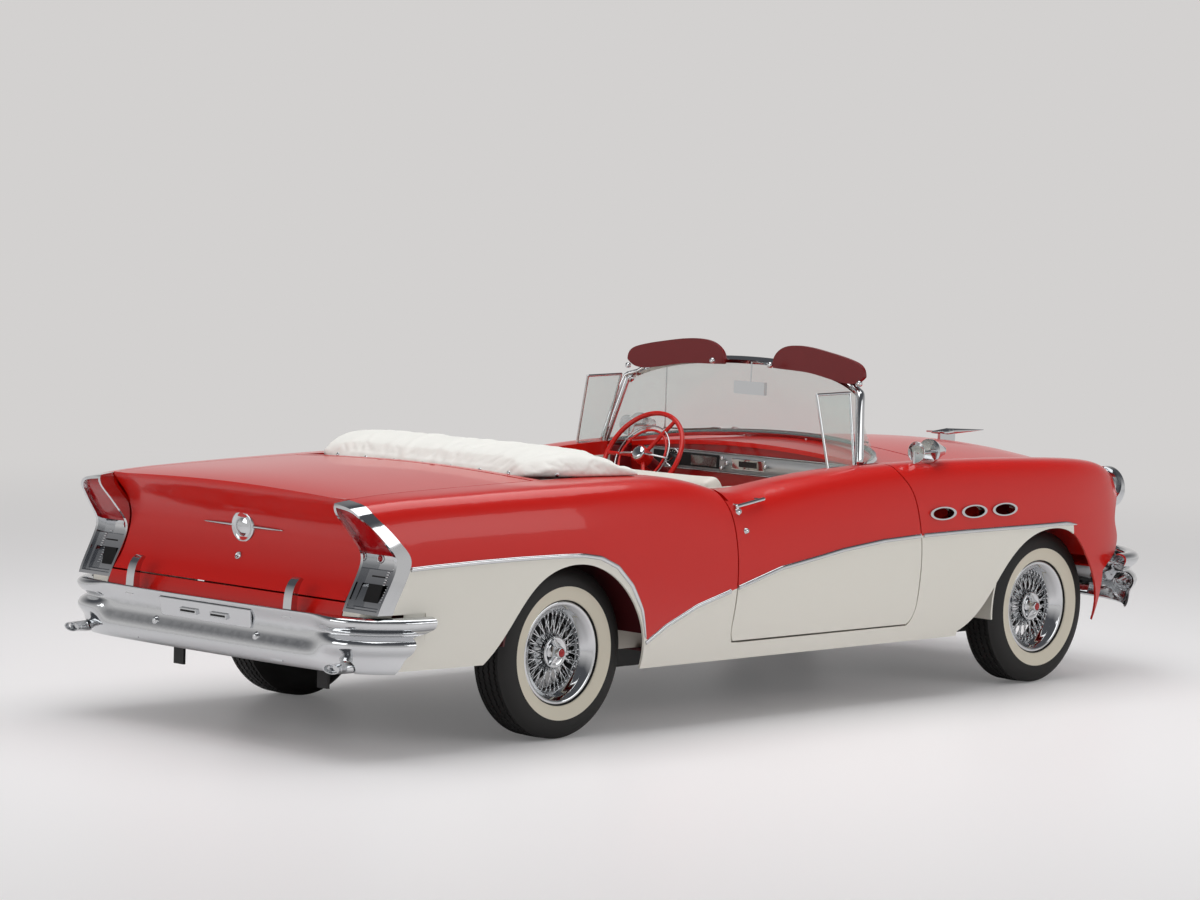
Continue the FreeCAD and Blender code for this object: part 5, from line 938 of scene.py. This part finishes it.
def makeSeats():
    for nodeName, fill, facing, rounds in seatPlan:
        first, *others = nodeName.split("_")
        pieceName = first + "".join(word.capitalize() for word in others)
        piece = softCopy(pieceName, nodeName, softSizes["voxel"])
        relaxSurface(piece, rounds)
        puff(piece, softSizes["seatCap"], softSizes["seatPressure"])
        low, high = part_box(nodeName)
        end = softSizes["channelEnd"]
        sewChannels(piece, low.y + end, high.y - end, Vector(facing))
        finishSoft(piece, whiteVinyl, nodeName)


def makeBootCover():
    size = softSizes
    piece = softCopy("bootCover", "top_boot", size["voxel"] * size["coverVoxelShare"])
    relaxSurface(piece, size["coverRounds"])
    low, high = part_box("top_boot")
    rim = low.z + size["coverRim"]
    puff(piece, size["coverCap"], size["coverPressure"], size["coverSlack"], lambda place: place.z < rim)
    wave = random.Random(7)
    folds = [(wave.uniform(low.y, high.y), wave.uniform(*size["foldWidth"]),
              wave.uniform(*size["foldLean"]),
              wave.uniform(*size["foldHeight"])) for _ in range(size["foldCount"])]
    cap = size["foldCap"]
    for vertex in piece.data.vertices:
        if vertex.normal.z < 0.1:
            continue
        fade = min(1.0, max(0.0, (vertex.co.z - rim) / size["foldFade"]))
        lift = 0.0
        for middle, width, lean, height in folds:
            off = (vertex.co.y - middle - lean * (vertex.co.x - low.x)) / width
            lift += height * fade * math.exp(-off * off) * math.cos(off * size["foldWave"])
        vertex.co += vertex.normal * max(-cap, min(cap, lift))
    finishSoft(piece, bootVinyl, "top_boot")
    return piece


def makeSnaps(piece):  # press studs round the rear hem of the cover
    tree = meshTree(piece.data)
    low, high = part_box("top_boot")
    count, radius, share = (softSizes[key] for key in ("snapCount", "snapRadius", "snapShare"))
    for index in range(count):
        y = low.y * share + index / (count - 1) * (high.y - low.y) * share
        start = Vector((low.x - meshSizes["castNear"], y, low.z + softSizes["snapLift"]))
        hit, normal, _, _ = tree.ray_cast(start, Vector(forward))
        if hit is not None:
            profile = scaled(radius, (-0.003, 1), (0.001, 1), (0.003, 0.8), (0.004, 0.5))
            turnedPiece(f"snap_{index}", profile + [(0.0045, 0.0004)], hit, normal)


makeSeats()
makeSnaps(makeBootCover())
print("soft goods made")


# Dashboard: silver panel, ribbed gauge, speedometer, radio, knobs, clock and glove box lid

dashSizes = {  # metres; places are Y, heights are measured from the panel's middle
    "panelLow": 0.925, "panelHigh": 1.012, "panelHalfWidth": 0.655, "panelColumns": 25,
    "panelThickness": 0.003, "stripRadius": 0.004, "recess": (0.155, 0.560, -0.030, 0.032),
    "ribCount": 26, "ribStart": 0.170, "ribSpan": 0.150, "ribHalfWidth": 0.0014, "ribHalfHeight": 0.022,
    "gaugeY": 0.30, "dialShift": 0.135, "markCount": 11, "markRadius": 0.031, "markStart": -120,
    "markTurn": 24, "needleWay": (0, 0.8, -0.6), "knobRadius": 0.011,
    "knobs": ((-0.135, 0.0), (0.095, 0.0), (0.125, -0.024), (0.125, 0.020), (-0.52, -0.030)),
    "gloveBox": (-0.520, -0.150, -0.085, -0.012), "gloveBoxFace": (-0.33, -0.045),
}
# name, Y that gives its depth, reach ahead and behind that face, Y and Z ranges, slot, material, bevel
radioBoxes = (
    ("radioPlate", -0.02, -0.006, 0.004, (-0.120, 0.080), (-0.026, 0.026), "chrome", chrome, 0.008),
    ("radioDial", -0.02, -0.0075, 0.0, (-0.075, 0.035), (-0.013, 0.015), None, dialPaint, 0.004),
)
clockBoxes = (
    ("clockCase", -0.53, -0.006, 0.004, (-0.600, -0.470), (-0.020, 0.022), "chrome", chrome, 0.006),
    ("clockFace", -0.53, -0.0075, 0.0, (-0.590, -0.480), (-0.013, 0.015), None, dialPaint, 0.004),
)


def dashPoint(y, z, out=0.006):  # a place just ahead of the dashboard's face
    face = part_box("dashboard")[0].x
    hit, _ = castAt("dashboard", (face - meshSizes["castNear"], y, z), forward)
    return Vector(((face if hit is None else hit.x) - out, y, z))


def makeDashPanel():
    size = dashSizes
    low, high, half = size["panelLow"], size["panelHigh"], size["panelHalfWidth"]
    columns = size["panelColumns"]
    across = [-half + 2 * half * index / (columns - 1) for index in range(columns)]
    points = [dashPoint(y, z, 0.004) for z in (low, (low + high) / 2, high) for y in across]
    panel = addPiece("dashPanel", meshFrom("dashPanel", points, gridFaces(3, columns)), "body",
                     silverPaint)
    addModifier(panel, "plateThickness", "SOLIDIFY", thickness=size["panelThickness"], offset=0.0)
    for word, z in (("Upper", high), ("Lower", low)):
        tubePiece("dashStrip" + word, [dashPoint(y, z) for y in across], size["stripRadius"], "body")


def makeGauge(middle):
    size = dashSizes
    at = dashPoint(size["gaugeY"], middle)
    start, end, low, high = size["recess"]
    # the recess behind the ribs is a flat black box: painted shade
    boxPiece("gaugeRecessShade", (at.x - 0.004, start, middle + low), (at.x + 0.004, end, middle + high),
             "body", None, shadeAndRubberBlack, 0.010)
    half, rise = size["ribHalfWidth"], size["ribHalfHeight"]
    for index in range(size["ribCount"]):
        y = size["ribStart"] + size["ribSpan"] * index / (size["ribCount"] - 1)
        low, high = (at.x - 0.008, y - half, middle - rise), (at.x - 0.003, y + half, middle + rise)
        boxPiece(f"gaugeRib_{index}", low, high, bevel=0.0006)
    dial = at + Vector((-0.004, size["dialShift"], 0))
    bezel = [(-0.004, 0.047), (0.006, 0.047), (0.009, 0.044), (0.008, 0.040), (0.003, 0.038)]
    turnedPiece("speedometer", bezel, dial, rearward, "body", 48)
    face = [(0.0, 0.040), (0.004, 0.039), (0.0045, 0.0005)]
    turnedPiece("speedometerDial", face, dial, rearward, "body", 48, dialPaint)
    for index in range(size["markCount"]):
        angle = math.radians(size["markStart"] + size["markTurn"] * index)
        centre = at + Vector((-0.0092, size["dialShift"] - size["markRadius"] * math.sin(angle),
                              size["markRadius"] * math.cos(angle)))
        reach = Vector((0.0004, 0.0013, 0.0013))
        boxPiece(f"dialMark_{index}", centre - reach, centre + reach, "body", None, whitePaint, 0.0003)
    turnedPiece("dialNeedle", [(0.0, 0.0015), (0.026, 0.0007), (0.0262, 0.0003)],
                at + Vector((-0.0100, size["dialShift"], 0)), size["needleWay"], "body", 12, redLens)


def makeDashBoxes(rows, middle):
    for name, faceY, ahead, behind, across, rise, slotName, material, bevel in rows:
        x = dashPoint(faceY, middle).x
        low, high = (x + ahead, across[0], middle + rise[0]), (x + behind, across[1], middle + rise[1])
        boxPiece(name, low, high, "body", slotName, material, bevel)


def makeDash():
    size = dashSizes
    middle = (size["panelLow"] + size["panelHigh"]) / 2
    makeDashPanel()
    makeGauge(middle)
    makeDashBoxes(radioBoxes, middle)
    knob = scaled(size["knobRadius"], (-0.004, 0.5), (0.012, 0.5), (0.013, 1), (0.022, 0.95), (0.025, 0.7))
    for index, (y, lift) in enumerate(size["knobs"]):
        turnedPiece(f"dashKnob_{index}", knob + [(0.0255, 0.0004)], dashPoint(y, middle + lift), rearward)
    makeDashBoxes(clockBoxes, middle)
    start, end, low, high = size["gloveBox"]
    at = dashPoint(size["gloveBoxFace"][0], size["panelLow"] + size["gloveBoxFace"][1])
    boxPiece("gloveBoxLid", (at.x - 0.002, start, size["panelLow"] + low),
             (at.x + 0.006, end, size["panelLow"] + high), "body", "dark_red_panel", darkRedPaint, 0.006)


makeDash()
print("dashboard made")

# Tyres with grooves and a zigzag tread

treadSizes = {  # metres; the side wall is (share of the half width, radius)
    "steps": 180, "grooveDepth": 0.007, "zigzag": 0.0035, "grooves": (-0.045, -0.0155, 0.0155, 0.045),
    "grooveHalf": 0.0032, "grooveSlope": 1.5, "blockCut": 0.0022, "blockSteps": 6, "crownDrop": 0.0015,
    "crownCurve": 0.9,
    "wall": ((0.74, 0.2085), (0.86, 0.2140), (0.955, 0.238), (0.995, 0.262), (1.0, 0.2655), (0.998, 0.269),
             (0.99, 0.286), (0.95, 0.304), (0.885, 0.320), (0.80, 0.332), (0.72, 0.3395)),
    "shoulder": (0.685, 0.0035),
}


def makeTyre(corner, side):
    nodeName = "tyre_" + corner
    size = treadSizes
    low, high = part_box(nodeName)
    centre = (low + high) / 2
    outer, half = (high.z - low.z) / 2, (high.y - low.y) / 2
    depth, groove = size["grooveDepth"], size["grooveHalf"]
    slope = groove * size["grooveSlope"]
    wall = [(half * share, radius) for share, radius in size["wall"]]
    wall.append((half * size["shoulder"][0], outer - size["shoulder"][1]))
    lanes = ((slope, 0.0), (groove, depth), (-groove, depth), (-slope, 0.0))
    vertices = []
    for step in range(size["steps"]):
        angle = 2 * math.pi * step / size["steps"]
        swing = size["zigzag"] * (1 if step % 2 else -1)
        cut = size["blockCut"] if step % size["blockSteps"] == 0 else 0.0
        crown = []
        for place in reversed(size["grooves"]):
            for offset, sunk in lanes:
                axial = place + offset + swing
                radius = outer - size["crownDrop"] - size["crownCurve"] * axial * axial - max(sunk, cut)
                crown.append((axial, radius))
        section = wall + crown + [(-axial, radius) for axial, radius in reversed(wall)]
        vertices.extend(centre + Vector((radius * math.sin(angle), axial * side, radius * math.cos(angle)))
                        for axial, radius in section)
    mesh = meshFrom("treadTyre_" + corner, vertices, gridFaces(size["steps"], len(section), True, True))
    mendMesh(mesh)
    piece = addPiece("treadTyre_" + corner, mesh, "wheel_" + corner,
                     nodes[nodeName].data.materials[0])
    addModifier(piece, "treadEdges", "EDGE_SPLIT", split_angle=math.radians(meshSizes["splitAngle"]))
    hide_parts(nodeName)


for corner, side in wheelCorners:
    makeTyre(corner, side)
print("tyres made")


# Steering wheel: a chrome horn ring on two arms, and a cap

wheelTrim = {
    "ringRadius": 0.150, "ringThickness": 0.0035, "ringLift": 0.004, "ringSteps": 64, "rimInner": 0.2,
    "hubOuter": 0.05, "armStart": 0.030,
    "armRadii": (0.006, 0.0055, 0.005, 0.0045, 0.004, 0.004),
    "capRadius": 0.034,
}


def makeHornRing():
    size = wheelTrim
    joint = next(joint for joint in frame["joints"] if joint["name"] == "steering_wheel_turn")
    axis = Vector(joint["axis"]).normalized()
    centre = Vector(joint["pos_m"])
    rimHeights, hubHeights = [], []
    for vertex in nodes["steering_wheel"].data.vertices:
        offset = vertex.co - centre
        height = offset.dot(axis)
        reach = (offset - axis * height).length
        if reach > size["rimInner"]:
            rimHeights.append(height)
        elif reach < size["hubOuter"]:
            hubHeights.append(height)
    ringHeight = sum(rimHeights) / len(rimHeights) + size["ringLift"]
    hubTop = max(hubHeights)
    first = axis.cross(Vector((0, 1, 0))).normalized()
    second = axis.cross(first)
    turns = [2 * math.pi * step / size["ringSteps"] for step in range(size["ringSteps"])]
    middle, radius = centre + axis * ringHeight, size["ringRadius"]
    ring = [middle + radius * (math.cos(turn) * first + math.sin(turn) * second) for turn in turns]
    bm = bmesh.new()
    tubeInto(bm, ring, size["ringThickness"], 10, closed=True)
    start, count = size["armStart"], len(size["armRadii"])
    for way in (second, -second):
        run = []
        for share in [index / (count - 1) for index in range(count)]:
            height = hubTop - size["ringLift"] + (ringHeight - hubTop) * share ** 2
            run.append(centre + axis * height + way * (start + (radius - start) * share))
        tubeInto(bm, run, size["armRadii"], 10)
    addPiece("hornRing", meshFromBmesh("hornRing", bm), "steering_wheel", chrome)
    cap = scaled(size["capRadius"], (-0.010, 1), (0.004, 1), (0.010, 0.85), (0.013, 0.55))
    cap.append((0.014, 0.0005))
    turnedPiece("hornCap", cap, centre + axis * hubTop, axis, "steering_wheel", 40)


makeHornRing()
print("horn ring made")


# Wipers, mirror glass and visor pivots

cabinTrim = {
    "wipers": (("left", 0.30, 0.62, 1.085), ("right", -0.08, -0.56, 1.10)),
    "wiperZ": 1.066, "wiperPoints": 13, "wiperLift": 0.010, "bladeFrom": 4, "armUntil": 9,
    "bladeRadius": 0.0035, "armRadius": 0.0028, "mirrorGlass": 0.047, "mirrorInset": 0.056,
    "pivotRadius": 0.013, "pivotX": 0.530, "pivots": ((0.172, 1.427), (0.690, 1.376)),
}


def makeWipers():
    size = cabinTrim
    for word, pivotY, tipY, tipZ in size["wipers"]:
        points = []
        for step in range(size["wiperPoints"]):
            share = step / (size["wiperPoints"] - 1)
            y, z = pivotY + (tipY - pivotY) * share, size["wiperZ"] + (tipZ - size["wiperZ"]) * share
            hit, normal = castAt("windshield_glass", (2.0, y, z), (-1, 0, 0))
            if hit is None:  # the line passes below the glass, whose nearest point then serves
                hit, normal, _, _ = surfaceTree("windshield_glass").find_nearest(Vector((1.0, y, z)))
            lift = size["wiperLift"] if normal.x > 0 else -size["wiperLift"]
            points.append(hit + normal.normalized() * lift)
        tubePiece("wiperBlade_" + word, points[size["bladeFrom"]:], size["bladeRadius"], "body",
                  shadeAndRubberBlack)
        arm = [point + Vector((0.008, 0, 0.004)) for point in points[:size["armUntil"]]]
        tubePiece("wiperArm_" + word, arm, size["armRadius"], "body")
        pivot = [(-0.030, 0.009), (0.0, 0.012), (0.008, 0.011), (0.012, 0.007), (0.013, 0.0004)]
        turnedPiece("wiperPivot_" + word, pivot, points[0] + Vector((0.008, 0, 0.0)), (0.5, 0, 0.85))


def makeMirrorGlass():
    low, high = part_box("fender_mirrors")
    inset = cabinTrim["mirrorInset"]
    glass = scaled(cabinTrim["mirrorGlass"], (-0.002, 1), (0.0015, 0.99), (0.002, 0.96), (0.0012, 0.93))
    for side, word in bothSides:
        start = (low.x - meshSizes["castNear"], side * (high.y - inset), high.z - inset)
        hit, _ = castAt("fender_mirrors", start, forward)
        if hit is not None:
            turnedPiece("mirrorGlass_" + word, glass + [(0.0012, 0.0005)], hit, rearward, "body", 48)


def makeVisorPivots():
    pivot = scaled(cabinTrim["pivotRadius"], (-0.006, 1), (0.006, 1), (0.010, 0.8), (0.012, 0.45))
    pivot.append((0.0125, 0.0004))
    for side, word in bothSides:
        for y, z in cabinTrim["pivots"]:
            place = (cabinTrim["pivotX"], side * y, z)
            turnedPiece(f"visorPivot_{word}_{round(y * 1000)}", pivot, place, (-1, 0, 0.15))


makeWipers()
makeMirrorGlass()
makeVisorPivots()
print("cabin trim made")

# Windshield pillars, door fittings, headlamp glass, and the black arms of the bumpers

fittings = {
    "pillarWide": 0.021, "pillarThin": 0.012, "pillarSides": 16, "pillarPull": 0.15,
    "pillarRoute": ((0.462, 0.762, 1.030), (0.474, 0.756, 1.10), (0.492, 0.742, 1.18), (0.512, 0.724, 1.26),
                    (0.532, 0.702, 1.32), (0.548, 0.670, 1.372), (0.560, 0.630, 1.398)),
    "locks": (("Button", -0.4935, 0.882, 0.0125), ("Lock", -0.4675, 0.802, 0.010)),
    "padFace": 0.7215, "padBack": 0.7285, "padEnd": 0.560, "cranks": ((0.30, -0.075), (-0.02, 0.060)),
    "crankZ": 0.700, "crankRadii": (0.006, 0.005, 0.0045), "headlampRadius": 0.083,
    "headlampSink": 0.006, "armHalfWidth": 0.52,
}
padPlan = (  # name, forward end, stand-out, low, high, slot, material and bevel of the pads inside a door
    ("doorPad", -0.470, 0.0, 0.640, 0.965, "white_upholstery", whiteVinyl, 0.003),
    ("doorLowerPad", -0.430, 0.0, 0.420, 0.625, "red_trim", maroonVinyl, 0.003),
    ("doorPadStrip", -0.470, 0.002, 0.627, 0.638, "chrome", chrome, 0.002),
)


def makePillars():
    size = fittings
    tree = surfaceTree("windshield_frame")
    for side, word in bothSides:
        bm = bmesh.new()
        points = []
        for place in smoothLine([Vector((x, side * y, z)) for x, y, z in size["pillarRoute"]], 2):
            points.append(tree.find_nearest(place)[0].lerp(place, size["pillarPull"]))
        rings = []
        for index, point in enumerate(points):
            direction = lineDirection(points, index)
            wide = (Vector((1, 0, 0)) - direction * direction.x).normalized()
            thin = direction.cross(wide)
            rings.append(ovalRing(bm, point, wide * size["pillarWide"], thin * size["pillarThin"],
                                  size["pillarSides"]))
        skinRings(bm, rings)
        addPiece("pillarCover_" + word, meshFromBmesh("pillarCover", bm), "body", chrome)


def makeDoorFittings():
    size = fittings
    for side, word in bothSides:
        body = "door_" + word
        for label, x, z, radius in size["locks"]:
            hit, normal = sidePoint(body, x, z, side)
            knob = scaled(radius, (-0.004, 1.35), (0.002, 1.3), (0.004, 1.05), (0.009, 1), (0.011, 0.75))
            turnedPiece(f"door{label}_{word}", knob + [(0.0115, 0.0004)], hit, normal, body, 32)
        face = side * size["padFace"]
        for label, start, out, low, high, slotName, material, bevel in padPlan:
            yLow, yHigh = sorted((face - side * out, side * size["padBack"]))
            corners = (start, yLow, low), (size["padEnd"], yHigh, high)
            boxPiece(f"{label}_{word}", *corners, body, slotName, material, bevel)
        for x, reach in size["cranks"]:
            centre = Vector((x, face, size["crankZ"]))
            end = f"_{word}_{round(x * 100)}"
            boss = [(-0.002, 0.020), (0.005, 0.019), (0.009, 0.012), (0.010, 0.0004)]
            turnedPiece("crankBoss" + end, boss, centre, (0, -side, 0), body, 28)
            route = ((0, -side * 0.009, 0), (reach * 0.5, -side * 0.013, -0.004),
                     (reach, -side * 0.012, -0.012))
            tubePiece("crankArm" + end, [centre + Vector(step) for step in route], size["crankRadii"], body,
                      sides=10)


def makeHeadlampGlass():
    low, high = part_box("headlamps")
    glass = scaled(fittings["headlampRadius"], (-0.010, 1), (0.0, 1), (0.008, 0.92), (0.015, 0.75),
                   (0.021, 0.45))
    for side, word in bothSides:
        centre = (high.x - fittings["headlampSink"], side * (high.y - (high.z - low.z) / 2),
                  (low.z + high.z) / 2)
        turnedPiece("headlampGlass_" + word, glass + [(0.023, 0.0005)], centre, forward, "body", 56,
                    lampGlass)


def repaintWhere(nodeName, material, test):  # gives one finish to the faces whose middle passes the test
    mesh = nodes[nodeName].data
    mesh.materials.append(material)
    index = len(mesh.materials) - 1
    for polygon in mesh.polygons:
        if abs(polygon.center.y) < fittings["armHalfWidth"] and test(polygon.center):
            polygon.material_index = index


makePillars()
makeDoorFittings()
makeHeadlampGlass()
repaintWhere("bumper_rear", underPaint, lambda place: place.z < 0.332 or place.x > -2.462)
repaintWhere("bumper_front", underPaint, lambda place: (place.z < 0.30 or place.x < 2.45) and place.x < 2.50)
print("fittings made")
